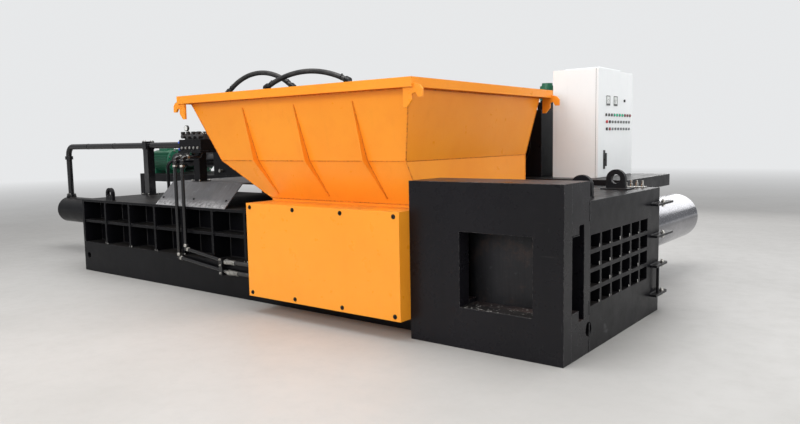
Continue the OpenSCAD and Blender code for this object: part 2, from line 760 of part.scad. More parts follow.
// the upper hose feeds the nearer port
module gate_hoses() color(black) for (i = [0, 1]) {
  R = hose_bend;
  r = 21;
  y = pipe_y;
  xp1 = gate_ports()[1 - i];
  zt = cyl_z + gate_od / 2 + 40;
  q = (gy - y) / 2;
  cx(gpe()[i] + 100, xp1 - R, y, gpz()[i], r);
  translate([xp1 - R, y, gpz()[i] + R]) rotate([90, 0, 0]) rotate([0, 0, -90]) bend(R, r);
  cz(gpz()[i] + R, zt, xp1, y, r);
  translate([xp1, y + q, zt]) rotate([90, 0, 90]) rotate_extrude(angle = 180)
    translate([q, 0]) circle(r = r);
  cz(zt - 15, zt, xp1, gy, r);
}

module power_deck() color(black) {
  zb = deck_z - deck_t - beam_h;
  bx(deck_x0, deck_x1, py0, deck_y1, deck_z - deck_t, deck_z);
  for (y = [py0, deck_y1 - beam_w]) bx(deck_x0, deck_x1, y, y + beam_w, zb, deck_z - deck_t);
  for (x = [deck_x0, cabx0, deck_x1 - beam_w])
    bx(x, x + beam_w, py0 + beam_w, deck_y1 - beam_w, zb, deck_z - deck_t);
  // beams that reach the block, then the legs on their feet
  for (x = [leg_x1, deck_x1 - beam_w]) bx(x, x + beam_w, yb, py0, zb, box_top - 5);
  for (x = [deck_x0 + 120, leg_x1]) for (y = [py0, deck_y1 - leg_w]) {
    bx(x, x + leg_w, y, y + leg_w, foot_t, zb);
    bx(x - foot_b, x + leg_w + foot_b, y - foot_b, y + leg_w + foot_b, 0, foot_t);
  }
}

module tank_stand() color(black) {
  p = post_w;
  zb = tz0 - rail_h;
  xs = [sx0, tx0 - p, (tx0 + tx1 - p) / 2, tx1 - p];
  for (y = [ty0, ty1 - p]) {
    bx(sx0, tx1, y, y + p, zb, tz0);
    for (x = xs) bx(x, x + p, y, y + p, 0, zb);
    bx(sx0, tx1, y, y + p, brace_z, brace_z + brace_h);
  }
  for (x = xs) {
    bx(x, x + p, ty0 + p, ty1 - p, zb, tz0);
    bx(x, x + p, ty0 + p, ty1 - p, brace_z, brace_z + brace_h);
  }
  // tray below the motors
  bx(sx0 + p, tx0 - p, ty0 + p, ty1 - p, tz0 - tray_t, tz0);
}

// arcs of the hoses: ends in x, y, rise above the necks
function arcs() = [[tx0 + 125, tx0 + 1435, ty0 + 260, 216], [tx0 + 1141, tx0 + 2579, ty0 + 110, 150]];
function arc_r(q) = ((q[1] - q[0]) * (q[1] - q[0]) / 4 + q[3] * q[3]) / (2 * q[3]);
function arc_a(q) = asin((q[1] - q[0]) / 2 / arc_r(q));
neck_z = tz1 + 190;
neck_l = 70;

module oil_tank() color(black) difference() {
  union() {
    bx(tx0, tx1, ty0, ty1, tz0, tz1 - tank_t);
    bx(tx0 - lid_b, tx1 + lid_b, ty0 - lid_b, ty1 + lid_b, tz1 - tank_t, tz1);
  }
  bx(tx0 + tank_t, tx1 - tank_t, ty0 + tank_t, ty1 - tank_t, tz0 + tank_t, tz1 - tank_t - 0.01);
  for (q = arcs()) for (s = [-1, 1])
    cz(tz1 - tank_t - 1, tz1 + 1, q[s > 0 ? 1 : 0] + s * neck_l / 2 * cos(arc_a(q)), q[2],
      hose_d / 2);
}

function motor_ys() = [ty0 + 275, ty1 - 275];

module pump_motors() color("#1d6b45") for (y = motor_ys()) translate([tx0 - 1800, y, motor_z]) {
  cx(0, 500, 0, 0, 175);
  cx(-80, 0, 0, 0, 160);
  cx(500, 530, 0, 0, 190);
  bx(120, 330, -70, 70, 150, 235);
  for (dx = [50, 390]) bx(dx, dx + 60, -150, 150, -205, -100);
}

module pumps() color(grey) for (y = motor_ys()) translate([tx0 - 1270, y, motor_z]) {
  cx(0, 110, 0, 0, 130);
  cx(110, 330, 0, 0, 90);
  cz(40, 130, 250, 0, 42);
}

module suction_pipes() color(black) for (y = motor_ys()) {
  r = 38;
  R = rise_bend;
  x = tx0 - 1020;
  z = motor_z + 130;
  cz(z, z + 60, x, y, r);
  translate([x + R, y, z + 60]) rotate([90, 0, 0]) rotate([0, 0, 90]) bend(R, r);
  cx(x + R, tx0, y, z + 60 + R, r);
}

module tank_fittings() color("silver") for (q = arcs()) for (s = [-1, 1]) {
  x = q[s > 0 ? 1 : 0];
  a = arc_a(q);
  xc = x + s * neck_l / 2 * cos(a);
  cz(tz1, tz1 + 14, xc, q[2], 75);
  cz(tz1 + 14, neck_z - neck_l / 2 * sin(a), xc, q[2], 38);
  translate([x, q[2], neck_z]) rotate([0, s * (90 + a), 0]) cylinder(h = neck_l, r = 45);
}

module arch_hoses() color(black) for (q = arcs()) {
  R = arc_r(q);
  a = arc_a(q);
  translate([(q[0] + q[1]) / 2, q[2], neck_z + q[3] - R]) rotate([90, 0, 0])
    rotate([0, 0, 90 - a]) rotate_extrude(angle = 2 * a, $fn = 144) translate([R, 0])
      circle(r = hose_d / 2, $fn = 32);
}

module oil_cooler() color(black) {
  x0 = deck_x0 + 70;
  x1 = x0 + cooler_w;
  zt = deck_z + cooler_h;
  difference() {
    bx(x0, x1, caby0, caby0 + cooler_d, deck_z, zt);
    cy(caby0 - 1, caby0 + 60, (x0 + x1) / 2, deck_z + cooler_h / 2, 290);
    bx(x0 + 40, x1 - 40, caby0 + 120, caby0 + cooler_d + 1, deck_z + 40, zt - 40);
  }
  // upright motor of the circulation pump, with its terminal box
  xm = x1 - 76;
  ym = caby0 + 289;
  bx(x1 - 155, x1 - 5, ym - 69, ym + 71, zt, zt + 90);
  cz(zt + 90, zt + 105, xm, ym, 74);
  cz(zt + 105, zt + 265, xm, ym, 64);
  cz(zt + 265, zt + 290, xm, ym, 56);
  bx(xm - 38, xm + 38, ym - 92, ym, zt + 145, zt + 235);
}

module cabinet() color(white) difference() {
  union() {
    bx(cabx0, cabx1 - door_t, caby0, caby1, deck_z, cabz1);
    bx(cabx0 + 40, cabx1 - 64, caby0 + 200, caby1 - 200, cabz1, cabz1 + 26);
    // hinge pins, above and below each barrel of the door
    for (z = hinge_zs()) for (d = [-42, 21]) {
      cz(z + d, z + d + 21, hinge_x, hinge_y, 6);
      bx(cabx1 - 64, hinge_x, caby1, hinge_y - 3, z + d, z + d + 21);
    }
  }
  bx(cabx0 + sheet_t, cabx1 - door_t + 4, caby0 + sheet_t, caby1 - sheet_t, deck_z + sheet_t,
    cabz1 - sheet_t);
}

function hinge_zs() = [for (k = [0 : 2]) deck_z + 180 + k * (cabinet_h - 360) / 2];

module cabinet_door() color(white) {
  door_sheet();
  for (z = hinge_zs()) {
    cz(z - 20, z + 20, hinge_x, hinge_y, 6);
    bx(hinge_x - 3, hinge_x + 3, caby1 - 3, hinge_y, z - 20, z + 20);
  }
  for (i = [2 : 8]) knob_head(panel_y(i), row_3);
  for (i = [4 : 8]) knob_head(panel_y(i), row_2);
}

// round hole through the door's sheet, open to a shank of radius r
module panel_hole(y, z, r) cx(cabx1 - sheet_t - 1, cabx1 + 1, y, z, r);

module door_sheet() difference() {
  bx(cabx1 - door_t, cabx1, caby0 + 1, caby1, deck_z + 4, cabz1);
  bx(cabx1 - door_t - 1, cabx1 - sheet_t, caby0 + 1 + sheet_t, caby1 - sheet_t,
    deck_z + 4 + sheet_t, cabz1 - sheet_t);
  for (y = meter_ys())
    bx(cabx1 - sheet_t - 1, cabx1 + 1, y - meter_w / 2, y + meter_w / 2, meter_z, meter_z + meter_h);
  for (y = lamp_ys()) panel_hole(y, row_1, shank_r);
  for (i = [0 : 3]) panel_hole(panel_y(i), row_2, shank_r + gap);
  for (i = [0, 1]) panel_hole(panel_y(i), row_3, shank_r + gap);
  panel_hole(switch_y, switch_z, shank_r + gap);
  panel_hole(handle_y, handle_z, handle_r + gap);
}

function meter_ys() = [caby0 + 242, caby0 + 445];
function lamp_ys() = [for (i = [0 : 9]) caby0 + 195 + i * lamp_pitch];
function panel_y(i) = caby0 + 213 + i * knob_pitch;

module door_handle() color(black) {
  cx(cabx1 - 14, cabx1 + 14, handle_y, handle_z, handle_r);
  bx(cabx1 + 14, cabx1 + 26, handle_y - handle_r, handle_y + handle_r, handle_z - 66, handle_z + 66);
}

module panel_meters() color(white)
  for (y = meter_ys()) {
    w = meter_w / 2;
    bx(cabx1 - 22, cabx1, y - w, y + w, meter_z, meter_z + meter_h);
    bx(cabx1, cabx1 + 8, y - w - meter_b, y + w + meter_b, meter_z - meter_b, meter_z + meter_h + meter_b);
  }

module indicator_lamps() color("green")
  for (y = lamp_ys()) {
    cx(cabx1 - shank_l, cabx1, y, row_1, shank_r);
    cx(cabx1, cabx1 + 12, y, row_1, 15);
  }

module knob_head(y, z) {
  cx(cabx1, cabx1 + 6, y, z, 14);
  bx(cabx1 + 5, cabx1 + 15, y - 4, y + 4, z - 13, z + 13);
}

module knob(y, z) {
  cx(cabx1 - shank_l, cabx1 + 1, y, z, shank_r);
  knob_head(y, z);
}

module button(y, z) {
  cx(cabx1 - shank_l, cabx1 + 7, y, z, shank_r);
  cx(cabx1 + 7, cabx1 + 13, y, z, 16);
}

module main_switch() color(grey) knob(switch_y, switch_z);
module red_button() color("red") button(panel_y(0), row_2);
module black_button() color(black) button(panel_y(1), row_2);
module reset_button() color(black) button(panel_y(0), row_3);
module stop_button() color("darkred") button(panel_y(1), row_3);
module selector_1() color(grey) knob(panel_y(2), row_2);
module selector_2() color(grey) knob(panel_y(3), row_2);

main_frame();
frame_sides();
gate_track();
bale_box();
end_grid();
portal_front();
gate_portal();
chamber_liner();
channel_liners();
throat_blade();
ram_blade();
charging_ram();
charging_rod();
charging_cylinder();
charging_gland();
compress_ram();
compress_rod();
compress_cylinder();
compress_gland();
gate();
gate_rod();
gate_cylinder();
gate_cover();
cover_posts();
cover_bolts();
hopper();
hopper_seat();
ram_hood();
lifting_lugs();
rear_lugs();
lug_bolts();
lug_rod();
valve_stand();
valve_manifold();
solenoid_valves();
main_oil_pipe();
gate_pipes();
gate_hoses();
power_deck();
tank_stand();
oil_tank();
pump_motors();
pumps();
suction_pipes();
pressure_pipe();
tank_fittings();
arch_hoses();
oil_cooler();
cabinet();
cabinet_door();
door_handle();
panel_meters();
indicator_lamps();
main_switch();
red_button();
black_button();
stop_button();
reset_button();
selector_1();
selector_2();
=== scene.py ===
"""Recycling baler: looks and small pieces on the frame of its solids. Lengths are in metres."""

import random
from math import asin, cos, pi, radians, sin

import bmesh
import bpy
from mathutils import Matrix, Vector


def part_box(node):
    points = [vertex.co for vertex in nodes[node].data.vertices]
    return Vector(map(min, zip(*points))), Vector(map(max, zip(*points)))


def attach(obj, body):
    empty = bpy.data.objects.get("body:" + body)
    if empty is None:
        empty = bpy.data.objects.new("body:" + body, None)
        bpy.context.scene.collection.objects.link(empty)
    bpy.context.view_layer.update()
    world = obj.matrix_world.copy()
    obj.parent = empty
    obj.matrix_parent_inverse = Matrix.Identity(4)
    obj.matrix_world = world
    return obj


bpy.ops.wm.read_factory_settings(use_empty=True)
scene = bpy.context.scene
scene.view_settings.view_transform = "Standard"
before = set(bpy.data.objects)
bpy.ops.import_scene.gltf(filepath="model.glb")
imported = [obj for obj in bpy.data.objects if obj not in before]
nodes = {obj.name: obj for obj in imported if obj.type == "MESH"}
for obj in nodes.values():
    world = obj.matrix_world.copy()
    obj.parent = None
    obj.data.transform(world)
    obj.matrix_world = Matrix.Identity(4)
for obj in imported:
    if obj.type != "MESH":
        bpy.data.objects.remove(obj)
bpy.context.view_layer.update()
rnd = random.Random(7)

# boxes of the solids that more than one section measures from, as lowest and highest corner
FRAME_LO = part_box("main_frame")[0]
BLOCK_LO, BLOCK_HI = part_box("bale_box")
COVER_LO, COVER_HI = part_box("gate_cover")
HOOD_LO, HOOD_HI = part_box("ram_hood")
PIPES_LO, PIPES_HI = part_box("gate_pipes")
COOLER_LO, COOLER_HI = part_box("oil_cooler")
TANK_LO, TANK_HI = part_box("oil_tank")
CABINET_LO, CABINET_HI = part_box("cabinet")
DOOR_LO, DOOR_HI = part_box("cabinet_door")
DOOR_FACE = DOOR_LO.x + 0.024
X, Y, Z = Vector((1, 0, 0)), Vector((0, 1, 0)), Vector((0, 0, 1))


# materials

class Nodes:
    """Short ways to add nodes to the tree of a material or of the world."""

    def __init__(self, owner):
        owner.use_nodes = True
        self.tree = owner.node_tree
        self.tree.nodes.clear()

    def node(self, kind, inputs=None, **settings):
        made = self.tree.nodes.new("ShaderNode" + kind)
        for key, value in settings.items():
            setattr(made, key, value)
        self.fill(made, inputs or {})
        return made

    def fill(self, node, inputs):
        """Links or sets inputs, given by name or number; None leaves one as it is."""
        for key, value in inputs.items():
            socket = node.inputs[key]
            if hasattr(value, "links"):
                self.tree.links.new(value, socket)
            elif isinstance(value, tuple) and socket.type == "RGBA":
                socket.default_value = (*value, 1)
            elif value is not None:
                socket.default_value = value


class Look(Nodes):
    def __init__(self, name):
        self.material = bpy.data.materials.new(name)
        super().__init__(self.material)
        self.shader = self.node("BsdfPrincipled")
        self.out = self.node("OutputMaterial", {0: self.shader.outputs[0]})
        self.place = self.node("TexCoord").outputs["Object"]
        self.normal = self.node("NewGeometry").outputs["Normal"]

    def scaled(self, *scale):
        return self.node("Mapping", {"Scale": scale, "Vector": self.place}).outputs[0]

    def noise(self, scale, detail=4, rough=0.6, place=None):
        return self.node("TexNoise", {"Scale": scale, "Detail": detail, "Roughness": rough,
                                      "Vector": place or self.place}).outputs["Fac"]

    def step(self, value, start, end):
        """0 up to the start, 1 from the end on, and a ramp between."""
        return self.node("MapRange", {"Value": value, "From Min": start, "From Max": end},
                         clamp=True).outputs[0]

    def math(self, operation, a, b):
        return self.node("Math", {0: a, 1: b}, operation=operation).outputs[0]

    def mul(self, first, *others):
        result = first
        for other in others:
            result = self.math("MULTIPLY", result, other)
        return result

    def most(self, a, b):
        return self.math("MAXIMUM", a, b)

    def inverse(self, mask):
        return self.math("SUBTRACT", 1.0, mask)

    def mix(self, mask, a, b):
        """Colour a where the mask is 0, colour b where it is 1."""
        return self.node("Mix", {0: mask, 6: a, 7: b}, data_type="RGBA").outputs[2]

    def mix_value(self, mask, a, b):
        return self.node("Mix", {0: mask, 2: a, 3: b}, data_type="FLOAT").outputs[0]

    def height_of(self, vector):
        return self.node("SeparateXYZ", {0: vector}).outputs[2]

    def facing_up(self, start=0.6, end=0.95):
        return self.step(self.height_of(self.normal), start, end)

    def rounded(self, radius):
        return self.node("Bevel", {"Radius": radius}, samples=4).outputs[0]

    def edges(self, rounded):
        """Where the rounded normal leaves the true one."""
        dot = self.node("VectorMath", {0: rounded, 1: self.normal}, operation="DOT_PRODUCT")
        return self.step(self.inverse(dot.outputs["Value"]), 0.02, 0.3)

    def low_band(self, bottom, top):
        """What lies below a height, in patches."""
        wander = self.mul(self.math("SUBTRACT", self.noise(9, 5, 0.7), 0.5), 0.06)
        height = self.math("ADD", self.height_of(self.place), wander)
        patches = self.step(self.noise(30, 5, 0.7), 0.35, 0.6)
        return self.mul(self.step(height, top, bottom), patches)

    def bump(self, height, strength, distance, normal=None):
        return self.node("Bump", {"Strength": strength, "Distance": distance, "Height": height,
                                  "Normal": normal}).outputs[0]

    def done(self, colour, rough, metallic=0.0, normal=None, more=None):
        self.fill(self.shader, {"Base Color": colour, "Roughness": rough, "Metallic": metallic,
                                "Normal": normal, **(more or {})})
        return self.material


def shade(colour, factor, lift=0.0):
    """The colour times a factor, lifted, and never over 1."""
    return tuple(min(1, c * factor + lift) for c in colour)


def paint(name, base, dark, worn, rough=0.4, wear=0.5, dust=0.3, dust_colour=(0.34, 0.30, 0.26),
          peel=0.12, wave=0.35, radius=0.004, streak=0.25, scratch=0.3, specular=0.5):
    """Paint with clouds, grime runs, chipped edges, scratches and dust."""
    t = Look(name)
    clouds = t.noise(1.1, 3, 0.5)
    spots = t.noise(7.0, 5, 0.65)
    colour = t.mix(t.mul(t.step(clouds, 0.35, 0.7), 0.55), base, dark)
    colour = t.mix(t.mul(t.step(spots, 0.5, 0.75), 0.25), colour, dark)
    runs = t.noise(1.0, 4, 0.6, t.scaled(16, 16, 0.9))
    grime = t.mul(t.step(runs, 0.56, 0.74), t.step(spots, 0.3, 0.6), streak)
    colour = t.mix(grime, colour, shade(dark, 0.45))
    rounded = t.rounded(radius)
    chips = t.mul(t.edges(rounded), t.step(t.noise(34, 6, 0.75), 0.46, 0.6), wear)
    # hairline scratches in two directions, in patches
    level = t.step(t.noise(1.0, 2, 0.5, t.scaled(2.0, 2.0, 260)), 0.70, 0.76)
    upright = t.step(t.noise(1.0, 2, 0.5, t.scaled(240, 5.0, 9)), 0.72, 0.78)
    patches = t.step(t.noise(2.3, 3, 0.6), 0.5, 0.66)
    scratches = t.mul(t.most(level, upright), patches, scratch)
    dusty = t.mul(t.facing_up(), t.step(t.noise(3.1, 6, 0.7), 0.36, 0.7), dust)
    colour = t.mix(dusty, colour, dust_colour)
    colour = t.mix(scratches, colour, worn)
    colour = t.mix(chips, colour, worn)
    bare = t.most(chips, scratches)
    gloss = t.mix_value(t.step(spots, 0.3, 0.75), rough - 0.07, rough + 0.09)
    gloss = t.mix_value(dusty, gloss, 0.85)
    gloss = t.mix_value(bare, gloss, 0.38)
    normal = t.bump(t.noise(2.2, 2, 0.45), wave, 0.006, rounded)
    normal = t.bump(t.noise(330, 2, 0.5), peel, 0.0005, normal)
    normal = t.bump(t.inverse(bare), 0.4, 0.0006, normal)
    return t.done(colour, gloss, t.mul(chips, 0.6), normal, {"Specular IOR Level": specular})


def metal(name, base, dark, rough=0.35, grain=(3, 3, 160), rust=0.0, rust_colour=(0.16, 0.07, 0.03),
          radius=0.003, scuff=0.5, metallic=1.0, dust=0.15, foot=None):
    """Bare metal; a foot is (bottom, top, colour, roughness) of a rubbed stretch."""
    t = Look(name)
    lines = t.noise(1.0, 3, 0.6, t.scaled(*grain))
    clouds = t.noise(1.6, 4, 0.6)
    specks = t.noise(18, 5, 0.7)
    colour = t.mix(t.step(clouds, 0.35, 0.7), base, dark)
    colour = t.mix(t.mul(t.step(lines, 0.45, 0.7), 0.35), colour, dark)
    rounded = t.rounded(radius)
    bright = t.most(t.edges(rounded), t.mul(t.step(specks, 0.6, 0.72), scuff))
    colour = t.mix(t.mul(bright, 0.7), colour, shade(base, 1.9, 0.05))
    rusty = t.mul(t.step(t.noise(4.6, 6, 0.75), 0.52, 0.66), rust)
    colour = t.mix(rusty, colour, rust_colour)
    dusty = t.mul(t.facing_up(), t.step(t.noise(2.7, 5, 0.7), 0.4, 0.72), dust)
    colour = t.mix(dusty, colour, (0.33, 0.30, 0.27))
    dull = t.most(rusty, dusty)
    gloss = t.mix_value(t.step(lines, 0.35, 0.7), rough - 0.08, rough + 0.12)
    gloss = t.mix_value(dull, gloss, 0.85)
    if foot:
        bottom, top, foot_colour, foot_rough = foot
        band = t.low_band(bottom, top)
        colour = t.mix(band, colour, foot_colour)
        gloss = t.mix_value(band, gloss, foot_rough)
    normal = t.bump(t.noise(2.0, 2, 0.4), 0.3, 0.004, rounded)
    normal = t.bump(lines, 0.12, 0.0004, normal)
    normal = t.bump(rusty, 0.3, 0.001, normal)
    return t.done(colour, gloss, t.mul(t.inverse(dull), metallic), normal)


def plastic(name, base, rough=0.35, grain=0.1, coat=(None, None), glow=None):
    """Plastic with faint spots and pale edges; a coat is (weight, roughness)."""
    t = Look(name)
    spots = t.noise(60, 4, 0.6)
    rounded = t.rounded(0.001)
    colour = t.mix(t.mul(t.step(spots, 0.4, 0.75), 0.3), base, shade(base, 0.6))
    colour = t.mix(t.mul(t.edges(rounded), 0.25), colour, shade(base, 1.5, 0.06))
    gloss = t.mix_value(t.step(spots, 0.3, 0.7), rough - 0.05, rough + 0.08)
    normal = t.bump(t.noise(900, 2, 0.5), grain, 0.0003, rounded)
    return t.done(colour, gloss, 0.0, normal, {
        "Coat Weight": coat[0], "Coat Roughness": coat[1],
        "Emission Color": base if glow else None, "Emission Strength": glow})


def rubber(name, base):
    t = Look(name)
    dirt = t.step(t.noise(5, 5, 0.7), 0.45, 0.75)
    colour = t.mix(t.mul(dirt, 0.45), base, (0.10, 0.095, 0.088))
    dusty = t.mul(t.facing_up(0.3, 0.9), t.step(t.noise(9, 4, 0.6), 0.4, 0.7), 0.35)
    colour = t.mix(dusty, colour, (0.16, 0.15, 0.14))
    normal = t.bump(t.noise(1.0, 3, 0.5, t.scaled(140, 140, 140)), 0.25, 0.0008)
    return t.done(colour, t.mix_value(dirt, 0.42, 0.68), normal=normal)


def weld(name, base):
    t = Look(name)
    spots = t.noise(45, 4, 0.7)
    colour = t.mix(t.step(spots, 0.4, 0.7), base, shade(base, 0.5))
    normal = t.bump(t.noise(160, 3, 0.6), 0.4, 0.002)
    return t.done(colour, t.mix_value(spots, 0.25, 0.5), 0.55, normal)


PAINTS = {
    "black": paint(
        "black_satin_paint", (0.0068, 0.0068, 0.0086), (0.003, 0.003, 0.0038), (0.26, 0.26, 0.27),
        rough=0.33, wear=0.55, dust=0.2, wave=0.5, streak=0.3, scratch=0.22, specular=0.15,
        dust_colour=(0.17, 0.15, 0.135), radius=0.005),
    "portal": paint(
        "black_portal_paint", (0.0085, 0.0080, 0.0105), (0.0036, 0.0035, 0.0046),
        (0.32, 0.31, 0.31), rough=0.3, wear=0.75, dust=0.42, wave=0.5, streak=0.3, scratch=0.25,
        specular=0.2, dust_colour=(0.20, 0.14, 0.125), radius=0.006),
    "ribs": paint(
        "black_frame_paint", (0.0046, 0.0046, 0.0062), (0.0022, 0.0022, 0.003), (0.24, 0.24, 0.25),
        rough=0.36, wear=0.6, dust=0.22, wave=0.5, streak=0.3, scratch=0.2, specular=0.15,
        dust_colour=(0.15, 0.135, 0.12), radius=0.005),
    "pipe": paint(
        "black_pipe_gloss", (0.0075, 0.0075, 0.009), (0.004, 0.004, 0.005), (0.3, 0.3, 0.31),
        rough=0.17, wear=0.5, dust=0.12, wave=0.15, streak=0.1, scratch=0.15, specular=0.6,
        dust_colour=(0.17, 0.15, 0.135), radius=0.002),
    "orange": paint(
        "orange_gloss_paint", (0.96, 0.335, 0.022), (0.86, 0.25, 0.012), (0.72, 0.33, 0.12),
        rough=0.33, wear=0.35, dust=0.1, peel=0.1, wave=0.45, streak=0.06, scratch=0.16,
        specular=0.36, dust_colour=(0.45, 0.24, 0.12), radius=0.005),
    "lining": paint(
        "worn_hopper_lining", (0.62, 0.19, 0.018), (0.20, 0.10, 0.06), (0.40, 0.38, 0.36),
        rough=0.42, wear=0.9, dust=0.5, wave=0.9, streak=0.5, scratch=1.0,
        dust_colour=(0.17, 0.14, 0.12), radius=0.005),
    "cover": paint(
        "orange_cover_paint", (0.98, 0.36, 0.022), (0.92, 0.30, 0.014), (0.70, 0.33, 0.12),
        rough=0.32, wear=0.3, dust=0.62, peel=0.1, wave=0.3, streak=0.05, scratch=0.2,
        dust_colour=(0.30, 0.13, 0.045)),
    "white": paint(
        "white_cabinet_paint", (0.85, 0.87, 0.88), (0.77, 0.80, 0.81), (0.42, 0.43, 0.44),
        rough=0.38, wear=0.25, dust=0.2, peel=0.3, wave=0.15, streak=0.06, scratch=0.1,
        dust_colour=(0.52, 0.50, 0.47), radius=0.003),
    "green": paint(
        "green_motor_paint", (0.012, 0.14, 0.075), (0.006, 0.07, 0.04), (0.25, 0.27, 0.25),
        wear=0.6, dust=0.35, radius=0.003),
}
METALS = {
    "silver": metal(
        "silver_foil", (0.34, 0.34, 0.36), (0.21, 0.21, 0.23), rough=0.18, grain=(5, 60, 60),
        scuff=0.2, dust=0.05, radius=0.004),
    "hood": metal(
        "scuffed_grey_sheet", (0.17, 0.17, 0.18), (0.085, 0.085, 0.09), rough=0.42,
        grain=(70, 4, 4), rust=0.3, rust_colour=(0.10, 0.075, 0.06), scuff=0.8, metallic=0.5,
        dust=0.35, foot=(HOOD_LO.z + 0.018, HOOD_LO.z + 0.078, (0.52, 0.52, 0.53), 0.35)),
    "plate": metal(
        "worn_wear_plate", (0.32, 0.31, 0.30), (0.16, 0.155, 0.15), rough=0.38,
        grain=(3, 120, 120), rust=0.45, scuff=0.7),
    "gate": metal(
        "dark_gate_steel", (0.022, 0.022, 0.026), (0.011, 0.011, 0.013), rough=0.42,
        grain=(90, 90, 3), rust=0.14, scuff=0.3, metallic=0.5, dust=0.0),
    "rod": metal(
        "hard_chrome_rod", (0.78, 0.79, 0.81), (0.66, 0.67, 0.69), rough=0.14,
        grain=(200, 8, 8), scuff=0.05, dust=0.05),
    "zinc": metal(
        "zinc_fittings", (0.66, 0.65, 0.61), (0.46, 0.45, 0.42), rough=0.3,
        grain=(120, 120, 120), rust=0.12, scuff=0.3, radius=0.0015),
    "galvanised": metal(
        "galvanised_plate", (0.55, 0.56, 0.56), (0.44, 0.45, 0.46), rough=0.42,
        grain=(9, 9, 9), scuff=0.08, dust=0.0, metallic=0.8),
    "casting": metal(
        "valve_casting", (0.07, 0.07, 0.075), (0.035, 0.035, 0.038), rough=0.5,
        grain=(150, 150, 150), rust=0.1, scuff=0.3, metallic=0.4, radius=0.002),
}
OTHERS = {
    "blue": plastic("blue_cap", (0.03, 0.09, 0.55), 0.3),
    "black_plastic": plastic("black_plastic", (0.016, 0.016, 0.017), 0.45, 0.2),
    "grey_plastic": plastic("grey_plastic", (0.20, 0.21, 0.21), 0.4, 0.15),
    "red": plastic("red_plastic", (0.58, 0.012, 0.02), 0.3, 0.05, (0.4, 0.1)),
    "dark_red": plastic("dark_red_plastic", (0.26, 0.006, 0.014), 0.3, 0.05, (0.4, 0.1)),
    "green_lens": plastic("green_lens", (0.01, 0.55, 0.30), 0.16, 0.03, (0.8, 0.05), 0.35),
    "dark_lens": plastic("dark_lens", (0.03, 0.035, 0.035), 0.16, 0.03, (0.8, 0.05)),
    "dial": plastic("meter_face", (0.74, 0.76, 0.75), 0.4, 0.05),
    "rubber": rubber("black_hose_rubber", (0.018, 0.018, 0.019)),
    "weld": weld("black_weld", (0.05, 0.05, 0.053)),
    "orange_weld": weld("orange_weld", (0.86, 0.27, 0.02)),
    "bare_weld": weld("bare_weld", (0.45, 0.44, 0.42)),
}
MATERIALS = PAINTS | METALS | OTHERS

# solids by look; the rest have the look black
LOOKS = {
    "portal": ["gate_portal", "portal_front"],
    "ribs": ["frame_sides", "main_frame"],
    "pipe": ["gate_pipes", "main_oil_pipe", "tank_fittings"],
    "orange": ["hopper", "hopper_seat"],
    "cover": ["gate_cover"],
    "white": ["cabinet", "cabinet_door"],
    "green": ["pump_motors"],
    "silver": ["compress_cylinder"],
    "hood": ["ram_hood"],
    "gate": ["gate"],
    "plate": ["charging_ram", "compress_ram", "chamber_liner", "channel_liners", "throat_blade",
              "ram_blade", "charging_gland", "compress_gland"],
    "rod": ["charging_rod", "compress_rod", "gate_rod"],
    "zinc": ["lug_bolts"],
    "casting": ["solenoid_valves", "pumps"],
    "rubber": ["gate_hoses", "arch_hoses"],
    "black_plastic": ["door_handle", "main_switch", "black_button", "reset_button"],
    "grey_plastic": ["selector_1", "selector_2"],
    "red": ["red_button"],
    "dark_red": ["stop_button"],
    "dark_lens": ["indicator_lamps"],
    "dial": ["panel_meters"],
}
look_of = {name: look for look, names in LOOKS.items() for name in names}
for name, solid in nodes.items():
    solid.data.materials.clear()
    solid.data.materials.append(MATERIALS[look_of.get(name, "black")])


def part_look(node, look, test):
    """Gives the faces that pass the test a look of their own."""
    mesh = nodes[node].data
    mesh.materials.append(MATERIALS[look])
    for face in mesh.polygons:
        if test(face.center, face.normal):
            face.material_index = 1


def is_hopper_lining(centre, normal):
    """Walls that face the middle, without the ribs outside."""
    middle_x = -1.95
    within = -3.40 < centre.x < -0.73 and abs(centre.y) < 1.079
    level = abs(normal.z) > 0.95
    inwards = (centre.x - middle_x) * normal.x + centre.y * normal.y < -0.05
    rib_side = abs(normal.x) > 0.9 and abs(centre.y) > 0.86
    return within and inwards and not level and not rib_side


# couplings at the lower ends of the gate pipes
part_look("gate_pipes", "zinc", lambda c, n: c.x > PIPES_HI.x - 0.1405 and c.z < 0.5)
# the cooler's motor, up to the rim of its foot
part_look("oil_cooler", "green",
          lambda c, n: c.z > COOLER_HI.z - 0.189 and c.x < COOLER_HI.x - 0.01)
# selectors that are fused to the door, below the lamps
part_look("cabinet_door", "grey_plastic", lambda c, n: c.x > DOOR_FACE + 0.0001 and c.z < 1.76)
# the outlet's sill
part_look("portal_front", "black", lambda c, n: n.z > 0.9 and c.z < 0.6)
part_look("hopper", "lining", is_hopper_lining)


# shapes that the small pieces are made of

def add_object(name, data):
    made = bpy.data.objects.new(name, data)
    scene.collection.objects.link(made)
    return made


def add_mesh(name, bm, material):
    mesh = bpy.data.meshes.new(name)
    bm.to_mesh(mesh)
    bm.free()
    mesh.materials.append(material)
    return add_object(name, mesh)


def piece(name, bm, look, body="frame", smooth=False):
    made = add_mesh(name, bm, MATERIALS[look])
    for face in made.data.polygons:
        face.use_smooth = smooth
    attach(made, body)


def bevel_edges(bm, edges, width):
    bmesh.ops.bevel(bm, geom=edges, offset=width, segments=2, affect="EDGES", profile=0.6)


def add_box(bm, low, high, bevel=0.0):
    verts = bmesh.ops.create_cube(bm, size=1.0)["verts"]
    for v in verts:
        v.co = Vector([(a + b) / 2 + c * (b - a) for a, b, c in zip(low, high, v.co)])
    if bevel:
        bevel_edges(bm, list({e for v in verts for e in v.link_edges}), bevel)


